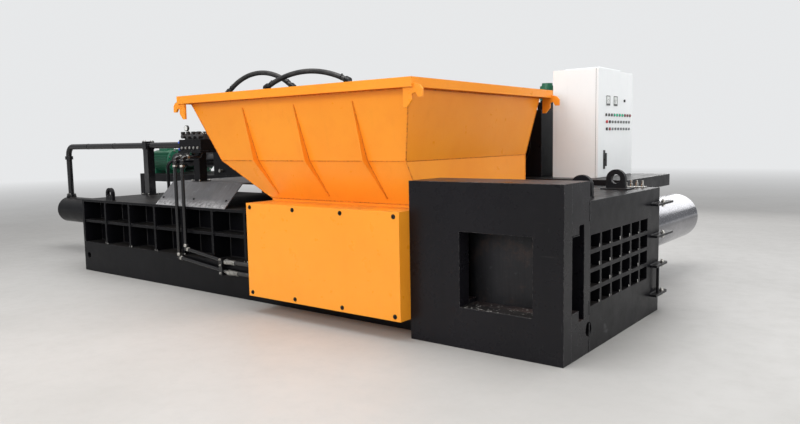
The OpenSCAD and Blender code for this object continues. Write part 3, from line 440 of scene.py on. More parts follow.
def add_block(bm, place, size):
    """Box of a size around the origin of a matrix."""
    verts = bmesh.ops.create_cube(bm, size=1.0)["verts"]
    bmesh.ops.transform(bm, matrix=place @ Matrix.Diagonal((*size, 1)), verts=verts)


def add_cylinder(bm, start, end, radius, end_radius=None, sides=24, bevel=0.0):
    """Cylinder or cone; a bevel rounds its rims."""
    start, end = Vector(start), Vector(end)
    along = end - start
    turn = along.to_track_quat("Z", "Y").to_matrix().to_4x4()
    verts = bmesh.ops.create_cone(
        bm, cap_ends=True, segments=sides, radius1=radius, radius2=end_radius or radius,
        depth=along.length, matrix=Matrix.Translation((start + end) / 2) @ turn)["verts"]
    if bevel:
        rims = [e for e in {e for v in verts for e in v.link_edges}
                if any(len(f.verts) > 4 for f in e.link_faces)]
        bevel_edges(bm, rims, bevel)


def add_nut(bm, start, end, radius, bevel=0.002):
    add_cylinder(bm, start, end, radius, sides=6, bevel=bevel)


def add_tube(bm, points, radius, sides=12):
    """Capped round tube through the points; the radius is one number or one for each point."""
    points = [Vector(p) for p in points]
    radii = radius if isinstance(radius, list) else [radius] * len(points)
    turns = [2 * pi * k / sides for k in range(sides)]
    rings = []
    for i, (point, r) in enumerate(zip(points, radii)):
        along = (points[min(i + 1, len(points) - 1)] - points[max(i - 1, 0)]).normalized()
        a = along.cross(Z)
        if a.length < 0.2:
            a = along.cross(Y)
        a.normalize()
        b = along.cross(a)
        rings.append([bm.verts.new(point + (a * cos(t) + b * sin(t)) * r) for t in turns])
    for u, v in zip(rings, rings[1:]):
        for k in range(sides):
            after = (k + 1) % sides
            bm.faces.new((u[k], u[after], v[after], v[k]))
    bm.faces.new(rings[0][::-1])
    bm.faces.new(rings[-1])


def smooth_path(points, steps):
    """Catmull-Rom curve through the points."""
    points = [Vector(p) for p in points]
    ends = [points[0] * 2 - points[1], *points, points[-1] * 2 - points[-2]]
    path = []
    for a, b, c, d in zip(ends, ends[1:], ends[2:], ends[3:]):
        for k in range(steps):
            t = k / steps
            path.append(0.5 * (2 * b + (c - a) * t + (2 * a - 5 * b + 4 * c - d) * t * t
                               + (3 * b - a - 3 * c + d) * t ** 3))
    return [*path, points[-1]]


def add_bead(bm, start, end, radius):
    """Rippled weld bead."""
    ripple = 0.012
    start, end = Vector(start), Vector(end)
    count = max(3, int((end - start).length / ripple))
    points = [start.lerp(end, i / count) for i in range(count + 1)]
    add_tube(bm, points, [radius * (0.82 + 0.3 * rnd.random()) for _ in points], 7)


def circle(centre, radius, count, start=0.0, axes=(Y, Z), closed=False):
    """Points around a centre in the plane of two axes, from an angle in degrees."""
    steps = count + 1 if closed else count
    turns = [radians(start + 360 * k / count) for k in range(steps)]
    return [Vector(centre) + (axes[0] * cos(a) + axes[1] * sin(a)) * radius for a in turns]


def around(x, y, z, dx, dy):
    """Four points at the same height, dx and dy to each side of a place."""
    return [Vector((x + sx * dx, y + sy * dy, z)) for sx in (-1, 1) for sy in (-1, 1)]


def add_bolts(bm, points, axis, radius, height):
    for seat in map(Vector, points):
        washer_top = seat + axis * height * 0.18
        add_cylinder(bm, seat, washer_top, radius * 1.28)
        add_nut(bm, washer_top, seat + axis * height, radius, radius * 0.09)


def bolts(name, points, axis, radius, height, look="zinc"):
    bm = bmesh.new()
    add_bolts(bm, points, axis, radius, height)
    piece(name, bm, look)


# camera, floor and light

def add_camera():
    """The camera that was fitted to the photograph: place, axes and lens."""
    place = (2.5042, -5.4023, 1.5629)
    right = Vector((0.792357, 0.609790, -0.018078))
    up = Vector((-0.047867, 0.091685, 0.994637))
    forward = Vector((-0.608177, 0.787242, -0.101836))
    data = bpy.data.cameras.new("camera")
    data.lens = 31.613
    data.sensor_width = 36
    data.clip_end = 200
    camera = add_object("camera", data)
    axes = Matrix((right, up, -forward)).transposed().to_4x4()
    camera.matrix_world = Matrix.Translation(place) @ axes
    scene.camera = camera


BACKDROP = (0.80, 0.81, 0.82)


def floor_material():
    """Pale concrete that runs into the backdrop far from the press."""
    t = Look("pale_floor")
    clouds = t.noise(0.6, 5, 0.6)
    spots = t.noise(6.0, 6, 0.7)
    colour = t.mix(t.step(clouds, 0.35, 0.7), (0.47, 0.462, 0.45), (0.42, 0.413, 0.40))
    colour = t.mix(t.mul(t.step(spots, 0.5, 0.8), 0.2), colour, (0.36, 0.352, 0.34))
    normal = t.bump(t.noise(40, 4, 0.6), 0.12, 0.002)
    gloss = t.mix_value(t.step(spots, 0.3, 0.7), 0.42, 0.6)
    distance = t.node("VectorMath", {0: t.place}, operation="LENGTH").outputs["Value"]
    glow = t.node("Emission", {"Color": BACKDROP}).outputs[0]
    fade = t.node("MixShader", {0: t.step(distance, 9.0, 30.0), 1: t.shader.outputs[0], 2: glow})
    t.fill(t.out, {0: fade.outputs[0]})
    return t.done(colour, gloss, 0.0, normal, {"Specular IOR Level": 0.35})


def add_floor():
    bm = bmesh.new()
    bmesh.ops.create_grid(bm, x_segments=1, y_segments=1, size=60)
    floor = add_mesh("floor", bm, floor_material())
    floor.location = (-2, 0, -0.0005)


def add_world():
    """Light that is brighter from above; the camera sees the backdrop instead."""
    world = bpy.data.worlds.new("world")
    scene.world = world
    t = Nodes(world)
    direction = t.node("TexCoord").outputs["Generated"]
    ramp = t.node("ValToRGB", {0: t.node("SeparateXYZ", {0: direction}).outputs[2]})
    level, above = ramp.color_ramp.elements
    level.color = (0.40, 0.41, 0.43, 1)
    above.color = (1.0, 1.0, 1.0, 1)
    above.position = 0.8
    light = t.node("Background", {"Color": ramp.outputs[0], "Strength": 0.66})
    seen = t.node("Background", {"Color": BACKDROP, "Strength": 1.0})
    is_seen = t.node("LightPath").outputs["Is Camera Ray"]
    choice = t.node("MixShader", {0: is_seen, 1: light.outputs[0], 2: seen.outputs[0]})
    t.node("OutputWorld", {0: choice.outputs[0]})


def add_light(name, place, target, size, power, colour=(1, 1, 1)):
    data = bpy.data.lights.new(name, "AREA")
    data.shape = "RECTANGLE"
    data.size, data.size_y = size
    data.energy = power
    data.color = colour
    lamp = add_object(name, data)
    lamp.location = place
    aim = Vector(target) - Vector(place)
    lamp.rotation_euler = aim.to_track_quat("-Z", "Y").to_euler()


add_camera()
add_floor()
add_world()
add_light("top", (-2.0, -0.5, 7.5), (-2.5, 0.3, 0.5), (9, 6), 620)
add_light("front", (-1.5, -9.0, 4.6), (-1.5, 0, 0.9), (8, 3.5), 430, (1.0, 0.98, 0.95))
add_light("side", (14.0, 0.5, 4.2), (0.0, 0.2, 0.9), (12, 5), 940, (1.0, 0.995, 0.985))
add_light("back", (-0.8, 9.5, 3.0), (-0.8, 1.0, 0.7), (5.4, 2.6), 90)


# welds of the frame

RIB = 0.03
RIB_PITCH = 0.515
RIB_WALL = FRAME_LO.y + 0.22
LOW_SHELF = 0.366
MIDDLE_SHELF = (0.611, 0.645)
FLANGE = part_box("frame_sides")[1].z - 0.002
rib_starts = [FRAME_LO.x + i * RIB_PITCH for i in range(7)] + [COVER_LO.x - RIB]


def bare_bead_ends():
    """Weld left bare at the feet of the grid's bars and of the ribs."""
    bar = 0.03
    low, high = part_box("end_grid")
    column = (high.y - low.y + bar) / 6
    row = (high.z - low.z + bar) / 4
    x = BLOCK_HI.x - 0.0055
    bm = bmesh.new()
    for i in range(1, 6):
        middle = low.y + i * column - bar / 2
        for j in range(4):
            z = low.z + j * row
            for side in (-1, 1):
                y = middle + side * (bar / 2 + 0.0015)
                length = 0.012 + 0.02 * rnd.random()
                add_bead(bm, (x, y, z + 0.001), (x, y, z + length), 0.005)
    y = FRAME_LO.y + 0.005
    for start in rib_starts:
        for x in (start - 0.003, start + RIB + 0.003):
            length = 0.01 + 0.016 * rnd.random()
            add_bead(bm, (x, y, LOW_SHELF), (x, y, LOW_SHELF + length), 0.006)
    piece("bare_bead_ends", bm, "bare_weld", smooth=True)


def add_rib_beads(bm):
    """Seams on both sides of the ribs, and along the shelves behind them."""
    bead, thin_bead = 0.006, 0.005
    root, tip = RIB_WALL - 0.004, FRAME_LO.y + 0.009
    for start in rib_starts:
        for x in (start - 0.002, start + RIB + 0.002):
            add_bead(bm, (x, RIB_WALL, LOW_SHELF), (x, RIB_WALL, FLANGE), bead)
            for z in (LOW_SHELF, FLANGE):
                add_bead(bm, (x, root, z), (x, tip, z), bead)
            for z in MIDDLE_SHELF:
                add_bead(bm, (x, root, z), (x, tip + 0.01, z), thin_bead)
    for z in (LOW_SHELF, *MIDDLE_SHELF, FLANGE):
        add_bead(bm, (FRAME_LO.x + RIB, RIB_WALL, z), (COVER_LO.x - RIB, RIB_WALL, z), bead)


def add_portal_beads(bm):
    """Seams along the channel's mouth, up the end face and across the block's top."""
    x = BLOCK_HI.x + 0.001
    portal_front, gate_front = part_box("gate_portal")[0].y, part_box("gate")[0].y
    for z in (0.343, 0.882):
        add_bead(bm, (x, portal_front + 0.002, z), (x, gate_front - 0.003, z), 0.003)
    x = BLOCK_HI.x + 0.0005
    for bottom, top in ((0.003, 0.103), (0.12, 0.22), (0.28, 0.38), (0.96, 1.103)):
        add_bead(bm, (x, BLOCK_LO.y, bottom), (x, BLOCK_LO.y, top), 0.004)
    y, z = BLOCK_LO.y - 0.002, BLOCK_HI.z + 0.001
    add_bead(bm, (BLOCK_LO.x, y, z), (BLOCK_HI.x, y, z), 0.005)


def add_lug_beads(bm):
    """Seams at both sides of the lifting lugs' feet, and above the rear lugs."""
    low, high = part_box("lifting_lugs")
    half = 0.02
    above = 0.002
    feet = [(x - 0.085, x + 0.085, y, BLOCK_HI.z + above) for x, y in ((0.27, 0.57), (0.35, -0.35))]
    feet += [(low.x, low.x + 0.14, y, low.z + above) for y in (low.y + half, high.y - half)]
    for x0, x1, y, z in feet:
        for edge in (y - half - 0.002, y + half + 0.002):
            add_bead(bm, (x0, edge, z), (x1, edge, z), 0.007)
    x = BLOCK_HI.x + 0.002
    for z in (0.183, 0.441, 0.702, 0.978):
        add_bead(bm, (x, 0.695, z), (x, BLOCK_HI.y - 0.005, z), 0.005)


def frame_beads():
    bm = bmesh.new()
    add_rib_beads(bm)
    add_portal_beads(bm)
    add_lug_beads(bm)
    piece("frame_beads", bm, "weld", smooth=True)


# plates, rails and fittings on top of the block

TOP = BLOCK_HI.z


def top_plates():
    """Rails and plates, as (x, y, far x, far y, thickness), and bolts of one plate."""
    rails = [(x, -0.60, x + 0.07, 0.82, 0.022) for x in (-0.34, -0.12)]
    base = (-0.55, -0.22, 0.14, 0.30, 0.006)
    small = [(0.02, -0.52, 0.20, -0.30, 0.018), (0.16, 0.48, 0.40, 0.66, 0.012)]
    bm = bmesh.new()
    for x0, y0, x1, y1, thickness in (*rails, base, *small):
        bevel = 0.001 if thickness < 0.01 else 0.002
        add_box(bm, (x0, y0, TOP), (x1, y1, TOP + thickness), bevel)
    piece("top_plates", bm, "black")
    x0, y0, x1, y1, thickness = base
    inset = 0.03
    points = [(x, y, TOP + thickness) for x in (x0 + inset, -0.40, 0.0, x1 - inset)
              for y in (y0 + inset, y1 - inset)]
    bolts("top_plate_bolts", points, Z, 0.012, 0.012, "black")


def top_fittings():
    y = 0.86
    bm = bmesh.new()
    for k in range(4):
        x = 0.40 - 0.05 * k
        add_nut(bm, (x, y, TOP), (x, y, TOP + 0.03 + 0.012 * (k % 2)), 0.013, 0.001)
        add_cylinder(bm, (x, y, TOP + 0.03), (x, y, TOP + 0.06), 0.008, sides=16)
    add_box(bm, (0.22, y - 0.03, TOP), (0.43, y + 0.03, TOP + 0.008), 0.001)
    piece("top_fittings", bm, "zinc")


def sill_crumbs():
    """Crumbs of shredded metal, more of them towards the front."""
    half_width = 0.28
    depth = 0.22
    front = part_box("portal_front")[0].y + 0.007
    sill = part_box("chamber_liner")[1].z + 0.0005
    bm = bmesh.new()
    for _ in range(90):
        x = -half_width + 2 * half_width * rnd.random()
        y = front + depth * rnd.random() ** 1.6
        size = 0.002 + 0.006 * rnd.random() ** 2
        turn = Matrix.Rotation(6 * rnd.random(), 4, "Z")
        tilt = Matrix.Rotation(0.6 * rnd.random(), 4, "X")
        place = Matrix.Translation((x, y, sill + size * 0.3))
        add_block(bm, place @ turn @ tilt, (size * 2, size, size * 0.35))
    piece("sill_crumbs", bm, "bare_weld")


# hopper and cover

def rectangle(x0, x1, half, z):
    return [(x0, -half, z), (x1, -half, z), (x1, half, z), (x0, half, z)]


def hopper_beads():
    """Seams round the rims, up the corners and beside the ribs."""
    foot_z, fold_z, top_z = 1.04, 1.395, 1.955
    side_foot, side_fold, side_top = 0.887, 0.996, 1.079
    foot = rectangle(COVER_LO.x, BLOCK_LO.x - 0.012, 0.871, foot_z)
    fold = rectangle(-3.089, -0.832, 0.995, fold_z)
    top = rectangle(-3.409, -0.724, 1.09, top_z)
    rim = rectangle(-3.409, -0.724, 1.09, top_z - 0.0005)
    bm = bmesh.new()
    for k in range(4):
        after = (k + 1) % 4
        add_bead(bm, fold[k], fold[after], 0.0045)
        add_bead(bm, foot[k], fold[k], 0.006)
        add_bead(bm, fold[k], top[k], 0.006)
        add_bead(bm, rim[k], rim[after], 0.005)
        add_bead(bm, foot[k], foot[after], 0.005)
    # where each rib's middle crosses the top, the fold and the foot
    ribs = ((-2.664, -2.566, -2.421), (-1.991, -1.898, -1.771), (-1.310, -1.232, -1.116))
    for side in (-1, 1):
        for x_top, x_fold, x_foot in ribs:
            for d in (-0.008, 0.008):
                bend = (x_fold + d, side * side_fold, fold_z)
                add_bead(bm, (x_foot + d, side * side_foot, 1.083), bend, 0.004)
                add_bead(bm, bend, (x_top + d, side * side_top, 1.885), 0.004)
    piece("hopper_beads", bm, "orange_weld", smooth=True)


def cover_washers():
    first, last = COVER_LO.x + 0.049, COVER_HI.x - 0.054
    inset = 0.037
    y = COVER_LO.y
    bm = bmesh.new()
    for i in range(4):
        x = first + i * (last - first) / 3
        for z in (COVER_LO.z + inset, COVER_HI.z - inset):
            add_cylinder(bm, (x, y, z), (x, y - 0.0025, z), 0.019, sides=28)
    piece("cover_washers", bm, "black")


# cylinders and the main oil pipe

AXIS_Z = 0.606
POST_X = -5.886
STAND_X, STAND_Y = -4.123, -0.49
DECK = HOOD_LO.z
POST_PLATE, STAND_PLATE = 0.010, 0.008


def cylinder_bolts():
    """On the charging cylinder, the press cap and the pipe's flange."""
    charging_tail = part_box("charging_cylinder")[0].x
    press_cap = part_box("compress_cylinder")[1].y
    pipe_x, pipe_z = -7.989, 0.836
    flange = circle((FRAME_LO.x - 0.05, 0, AXIS_Z), 0.219, 12, 15)
    tail = circle((charging_tail, 0, AXIS_Z), 0.12, 8, 22.5)
    cap = circle((0, press_cap, AXIS_Z), 0.21, 12, 15, (X, Z))
    pipe = circle((pipe_x, 0, pipe_z), 0.052, 4, 45, (X, Y))
    bolts("cylinder_flange_bolts", flange, -X, 0.018, 0.022, "black")
    bolts("cylinder_tail_bolts", tail, -X, 0.015, 0.009, "black")
    bolts("press_cap_bolts", cap, Y, 0.02, 0.01)
    bolts("pipe_flange_bolts", pipe, Z, 0.009, 0.012)


def pipe_seams():
    """Weld rings on the main pipe, and foot plates of its post and of the valve stand."""
    half_width, half_depth = 0.08, 0.085
    pipe_z = 1.55
    bm = bmesh.new()
    for x in (-7.4, -6.7, -4.9, -4.5):
        add_tube(bm, [(x + 0.0025, 0, pipe_z), (x - 0.0025, 0, pipe_z)], 0.0425, 24)
    add_box(bm, (POST_X - half_width, -half_depth, DECK),
            (POST_X + half_width, half_depth, DECK + POST_PLATE), 0.001)
    add_box(bm, (STAND_X - half_width, STAND_Y - half_width, HOOD_HI.z),
            (STAND_X + half_width, STAND_Y + half_width, HOOD_HI.z + STAND_PLATE), 0.001)
    piece("pipe_seams", bm, "black")


def post_bolts():
    pipe_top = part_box("main_oil_pipe")[1].z
    post_foot = around(POST_X, 0, DECK + POST_PLATE, 0.066, 0.071)
    stand_foot = around(STAND_X, STAND_Y, HOOD_HI.z + STAND_PLATE, 0.066, 0.066)
    saddle = around(POST_X, 0, pipe_top, 0.025, 0.055)
    bm = bmesh.new()
    add_bolts(bm, post_foot + stand_foot, Z, 0.009, 0.012)
    add_bolts(bm, saddle, Z, 0.008, 0.012)
    piece("post_bolts", bm, "zinc")


# valve group, measured from the manifold's left, front and lower faces

VALVES_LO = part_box("valve_manifold")[0]
COIL_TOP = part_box("solenoid_valves")[1].z
VALVE_X = [VALVES_LO.x + 0.052 + 0.092 * k for k in range(4)]
GATE_PIPE_X = (VALVES_LO.x + 0.189, VALVES_LO.x + 0.315)
GATE_PIPE_Y = PIPES_LO.y + 0.03
GAUGE = Vector((VALVES_LO.x + 0.096, VALVES_LO.y + 0.05, VALVES_LO.z + 0.245))


def gate_pipe_fittings():
    """Elbows and nuts of the gate pipes, plugs of the manifold, the gauge's stem."""
    bend = 0.045
    elbow_z = VALVES_LO.z - 0.07
    y = GATE_PIPE_Y
    fittings = bmesh.new()
    elbows = bmesh.new()
    for x in GATE_PIPE_X:
        middle = (x, y + bend, elbow_z - bend)
        arc = [(x, middle[1] + bend * cos(a), middle[2] + bend * sin(a))
               for a in [radians(180 - 15 * k) for k in range(7)]]
        add_tube(elbows, [(x, y, elbow_z - bend - 0.03), *arc, (x, y + 0.071, elbow_z)], 0.0215, 18)
        add_nut(fittings, (x, y, elbow_z - 0.1), (x, y, elbow_z - 0.08), 0.027)
        add_nut(fittings, (x, y + 0.061, elbow_z), (x, y + 0.086, elbow_z), 0.028)
    for x, z in zip(GATE_PIPE_X, (0.342, 0.446)):
        add_nut(fittings, (x, y, z + 0.02), (x, y, z + 0.05), 0.026)
        add_nut(fittings, (x + 0.03, y, z - 0.004), (x + 0.06, y, z - 0.008), 0.026)
    add_manifold_plugs(fittings)
    stem = Vector((GAUGE.x, GAUGE.y, COIL_TOP))
    add_nut(fittings, stem, stem + Z * 0.033, 0.012, 0.001)
    piece("valve_fittings", fittings, "zinc")
    piece("valve_elbows", elbows, "pipe", smooth=True)


def add_manifold_plugs(bm):
    left, front, foot = VALVES_LO
    for k in range(5):
        x = left + 0.056 + 0.07 * k
        add_nut(bm, (x, front, foot + 0.03), (x, front - 0.014, foot + 0.03), 0.015, 0.001)
    for y, z in ((front + 0.06, foot + 0.035), (front + 0.16, foot + 0.075)):
        add_nut(bm, (left, y, z), (left - 0.039, y, z), 0.021)
        add_cylinder(bm, (left - 0.039, y, z), (left - 0.064, y, z), 0.014, sides=18)


def valve_details():
    """Cable plugs on both coils of each valve, blue caps, and the valves' screws."""
    left, front, foot = VALVES_LO
    reach = Vector((0.017, 0.018, 0.015))
    bm = bmesh.new()
    for x in VALVE_X:
        for y in (front + 0.02, front + 0.17):
            middle = Vector((x, y, COIL_TOP + 0.009))
            add_box(bm, middle - reach, middle + reach, 0.003)
    piece("coil_plugs", bm, "black_plastic")
    bm = bmesh.new()
    for y, z in ((0.02, 0.09), (0.09, 0.105), (0.02, 0.015)):
        add_cylinder(bm, (left, front + y, foot + z), (left - 0.032, front + y, foot + z),
                     0.016, 0.014, sides=20, bevel=0.001)
    piece("blue_caps", bm, "blue")
    points = [p for x in VALVE_X for p in around(x, front + 0.1, COIL_TOP, 0.022, 0.03)]
    bolts("valve_screws", points, Z, 0.006, 0.007)


def pressure_gauge():
    front = GAUGE - Y * 0.025
    neck = GAUGE - Y * 0.005
    case = bmesh.new()
    add_cylinder(case, GAUGE, front, 0.032, sides=32, bevel=0.002)
    add_cylinder(case, neck - Z * 0.035, neck - Z * 0.025, 0.008, sides=12)
    piece("gauge_case", case, "black_plastic")
    face = bmesh.new()
    add_cylinder(face, front, front - Y * 0.001, 0.027, sides=32)
    piece("gauge_face", face, "dial")


def hose_ends():
    """The clamp's bolts; three crimped rings and a collar on each gate hose."""
    bolts("clamp_bolts", [(-3.279, PIPES_LO.y, z) for z in (0.245, 0.325, 0.385)],
          -Y, 0.009, 0.012)
    y = GATE_PIPE_Y
    bm = bmesh.new()
    for end, z in ((PIPES_HI.x, 0.258), (PIPES_HI.x - 0.04, 0.362)):
        for x in [end + 0.004 + 0.018 * k for k in range(3)]:
            add_cylinder(bm, (x, y, z), (x + 0.012, y, z), 0.0262, bevel=0.002)
        add_cylinder(bm, (end - 0.064, y, z), (end - 0.060, y, z), 0.029)
    piece("hose_ferrules", bm, "zinc")


def hood_bolts():
    """On the hood's sloping front, which rises at 45 degrees."""
    up_the_slope = 0.075
    slope = Vector((0, -1, 1)).normalized()
    points = [(x, HOOD_LO.y + up_the_slope, HOOD_LO.z + up_the_slope)
              for x in (HOOD_LO.x + 0.051, -3.85, HOOD_HI.x - 0.056)]
    bolts("hood_bolts", points, slope, 0.010, 0.010, "black")


# oil tank and the arching hoses

TANK_TOP = TANK_HI.z


def tank_cover():
    low, high = Vector((-4.75, 1.675, TANK_TOP)), Vector((-4.15, 2.155, TANK_TOP + 0.012))
    filler = Vector((-5.5, 2.0, TANK_TOP))
    neck_top = filler + Z * 0.06
    bm = bmesh.new()
    add_box(bm, low, high, 0.002)
    add_cylinder(bm, filler, neck_top, 0.06, sides=32, bevel=0.004)
    add_cylinder(bm, neck_top, neck_top + Z * 0.03, 0.075, sides=32, bevel=0.006)
    piece("tank_cover", bm, "black")
    inset = 0.03
    pitch = (high.x - low.x - 2 * inset) / 5
    points = [(low.x + inset + pitch * i, y, high.z) for i in range(6)
              for y in (low.y + inset, high.y - inset)]
    bolts("tank_cover_bolts", points, Z, 0.009, 0.009)


def tank_gauge():
    """Level gauge and drain plug on the tank's front wall."""
    wall = TANK_LO.y + 0.02
    bm = bmesh.new()
    add_box(bm, (-4.0, wall - 0.012, 1.35), (-3.96, wall, 1.75), 0.003)
    add_nut(bm, (-5.9, wall, 1.16), (-5.9, wall - 0.06, 1.16), 0.025)
    piece("tank_gauge", bm, "zinc")


def hose_clamps():
    """Clamp bands on the arching hoses' sleeves, and bolts of their necks."""
    neck = 0.19
    flange = 0.014
    band = 0.010
    ear = Vector((0.008, 0.006, 0.007))
    bm = bmesh.new()
    necks = []
    for left, right, y, rise in ((-5.975, -4.665, 1.475, 0.216), (-4.959, -3.521, 1.325, 0.150)):
        half = (right - left) / 2
        arc = (half * half + rise * rise) / (2 * rise)
        lean = asin(half / arc)
        for side, x in ((-1, left), (1, right)):
            neck_x = x + side * 0.035 * cos(lean)
            necks += circle((neck_x, y, TANK_TOP + flange), 0.058, 6, 30, (X, Y))
            # outwards along the hose's end, which leans down towards the neck
            outwards = Vector((side * cos(lean), 0, -sin(lean)))
            end = Vector((x, y, TANK_TOP + neck))
            for k in (0.006, 0.030, 0.054):
                add_cylinder(bm, end + outwards * k, end + outwards * (k + band), 0.0475,
                             sides=32, bevel=0.001)
            add_cylinder(bm, end - outwards * 0.075, end - outwards * 0.060, 0.0375,
                         sides=32, bevel=0.001)
            screw = end - outwards * 0.068 + Z * 0.043
            add_box(bm, screw - ear, screw + ear, 0.001)
    piece("hose_clamps", bm, "black")
    bolts("neck_bolts", necks, Z, 0.008, 0.009)


# motors and cooler

MOTORS_LO, MOTORS_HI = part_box("pump_motors")
MOTOR_Z = 1.295
MOTORS_Y = (MOTORS_LO.y + MOTORS_HI.y) / 2
MOTOR_Y = (MOTORS_Y - 0.275, MOTORS_Y + 0.275)


def add_spoked_guard(bm, centre, radii, axes, wire, spokes, start, spoke_length, spoke):
    """Wire guard of a fan: rings around a centre, and spokes from it."""
    count = 32 if len(radii) < 6 else 40
    for radius in radii:
        add_tube(bm, circle(centre, radius, count, axes=axes, closed=True), wire, 6)
    for tip in circle(centre, spoke_length, spokes, start, axes):
        add_cylinder(bm, centre, tip, spoke, sides=8)


def pump_motor_details():
    fins = bmesh.new()
    grilles = bmesh.new()
    flanges = []
    for y in MOTOR_Y:
        middle = Matrix.Translation((MOTORS_LO.x + 0.33, y, MOTOR_Z))
        outwards = Matrix.Translation((0, 0.182, 0))
        for k in range(40):
            share = k / 20
            # none where the cable box and the feet are
            if 0.25 < share < 0.75 or 1.3 < share < 1.7:
                continue
            turn = Matrix.Rotation(pi * share, 4, "X")
            add_block(fins, middle @ turn @ outwards, (0.44, 0.024, 0.005))
        add_spoked_guard(grilles, Vector((MOTORS_LO.x - 0.002, y, MOTOR_Z)),
                         (0.03, 0.06, 0.09, 0.12, 0.145), (Y, Z), 0.0025, 8, 0, 0.148, 0.003)
        eye = circle((MOTORS_LO.x + 0.50, y, MOTOR_Z + 0.20), 0.03, 20, closed=True)
        add_tube(fins, eye, 0.008, 8)
        flanges += circle((MOTORS_HI.x, y, MOTOR_Z), 0.172, 8, 22.5)
    piece("motor_fins", fins, "green")
    piece("fan_grilles", grilles, "black_plastic")
    bolts("motor_bolts", flanges, X, 0.011, 0.012)


def cooler_fan():
    x, z = (COOLER_LO.x + COOLER_HI.x) / 2, COOLER_LO.z + 0.35
    front = COOLER_LO.y
    bm = bmesh.new()
    add_spoked_guard(bm, Vector((x, front - 0.001, z)), [0.04 + 0.031 * k for k in range(9)],
                     (X, Z), 0.0022, 4, 45, 0.31, 0.004)
    pitch = Matrix.Rotation(0.5, 4, "X")
    for k in range(7):
        turn = Matrix.Rotation(2 * pi * k / 7, 4, "Y")
        place = Matrix.Translation((x, front + 0.025, z)) @ turn @ Matrix.Translation((0.15, 0, 0))
        add_block(bm, place @ pitch, (0.22, 0.003, 0.075))
    add_cylinder(bm, (x, front + 0.010, z), (x, front + 0.055, z), 0.055, sides=28, bevel=0.004)
    piece("cooler_fan", bm, "black_plastic")


def upright_motor():
    x, y, foot = COOLER_HI.x - 0.076, COOLER_HI.y - 0.076, COOLER_HI.z - 0.185
    middle = Matrix.Translation((x, y, foot + 0.08))
    outwards = Matrix.Translation((0.069, 0, 0))
    bm = bmesh.new()
    for angle in [2 * pi * k / 28 for k in range(28)]:
        # none on the side of the cable box
        if sin(angle) >= -0.6:
            turn = Matrix.Rotation(angle, 4, "Z")
            add_block(bm, middle @ turn @ outwards, (0.014, 0.0035, 0.15))
    piece("upright_motor_fins", bm, "green")
    bolts("upright_motor_bolts", circle((x, y, foot), 0.068, 4, 45, (X, Y)), Z, 0.0045, 0.006)


def cooler_core():
    """Thin upright plates and the level tubes behind the fan."""
    left, right = COOLER_LO.x + 0.041, COOLER_HI.x - 0.041
    bottom, top = COOLER_LO.z + 0.045, COOLER_LO.z + 0.655
    plate, plate_pitch = 0.002, 0.0125
    tube, tube_pitch = 0.006, 0.04
    bm = bmesh.new()
    for x in [left + 0.003 + plate_pitch * k for k in range(60)]:
        add_box(bm, (x, 1.60, bottom), (x + plate, 1.69, top))
    for z in [bottom + 0.015 + tube_pitch * k for k in range(16)]:
        add_box(bm, (left, 1.605, z), (right, 1.685, z + tube))
    piece("cooler_core", bm, "zinc")


# control panel on the door

LAMPS_LO, LAMPS_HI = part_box("indicator_lamps")
LAMP_ROW = (LAMPS_LO + LAMPS_HI) / 2
LAMP_Y = [LAMP_ROW.y + 0.075 * (k - 4.5) for k in range(10)]
LAMP_Z = LAMP_ROW.z


def door_seal():
    """Dark strips in the gap round the door, at both sides and along the top."""
    strip = 0.0035
    back, front = DOOR_LO.x - 0.0018, DOOR_LO.x + 0.0008
    bottom, top = DOOR_LO.z - 0.0005, DOOR_HI.z + 0.0005
    left, right = DOOR_LO.y - 0.0015, DOOR_HI.y - 0.0145
    bm = bmesh.new()
    add_box(bm, (back, left, bottom), (front, left + strip, top))
    add_box(bm, (back, left, top - 0.003), (front, right, top + 0.0001))
    add_box(bm, (back, right - strip, bottom), (front, right, top))
    piece("door_seal", bm, "black_plastic")


def meter_trim():
    """Frames, ticks, needles and lower bars; the dials bear no figures."""
    low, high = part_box("panel_meters")
    face = high.x
    back, front = face - 0.0002, face + 0.0015
    middle_z = (low.z + high.z) / 2
    dial_z = middle_z - 0.0225
    half = 0.048
    edge = 0.004
    tick = Vector((0.0005, 0.0008, 0.0022))
    bm = bmesh.new()
    for y in (low.y + half, high.y - half):
        for side in (-1, 1):
            y_edge = y + side * (half - 0.003)
            add_box(bm, (back, y_edge - edge, low.z - 0.001),
                    (front, y_edge + edge, high.z + 0.001), 0.0008)
            z_edge = middle_z + side * 0.0455
            add_box(bm, (back, y - half - 0.001, z_edge - edge),
                    (front, y + half + 0.001, z_edge + edge), 0.0008)
        for angle in [radians(150 - 12 * k) for k in range(11)]:
            mark = Vector((face + 0.0004, y + 0.034 * cos(angle),
                           dial_z + 0.034 * sin(angle)))
            add_box(bm, mark - tick, mark + tick)
        add_cylinder(bm, (face + 0.0007, y, dial_z - 0.002),
                     (face + 0.0007, y - 0.022, dial_z + 0.026), 0.0009, sides=6)
        add_box(bm, (back, y - 0.04, dial_z - 0.018), (face + 0.0012, y + 0.04, dial_z - 0.008),
                0.0005)
    piece("meter_trim", bm, "black_plastic", "door")


def panel_rings():
    bm = bmesh.new()
    for y in LAMP_Y:
        add_cylinder(bm, (DOOR_FACE, y, LAMP_Z), (DOOR_FACE + 0.0045, y, LAMP_Z), 0.018,
                     sides=28, bevel=0.001)
    for button in ("red_button", "reset_button", "black_button", "stop_button"):
        low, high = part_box(button)
        _, y, z = (low + high) / 2
        add_cylinder(bm, (DOOR_FACE, y, z), (DOOR_FACE + 0.0025, y, z), 0.0165,
                     sides=28, bevel=0.0008)
    piece("panel_rings", bm, "zinc", "door")


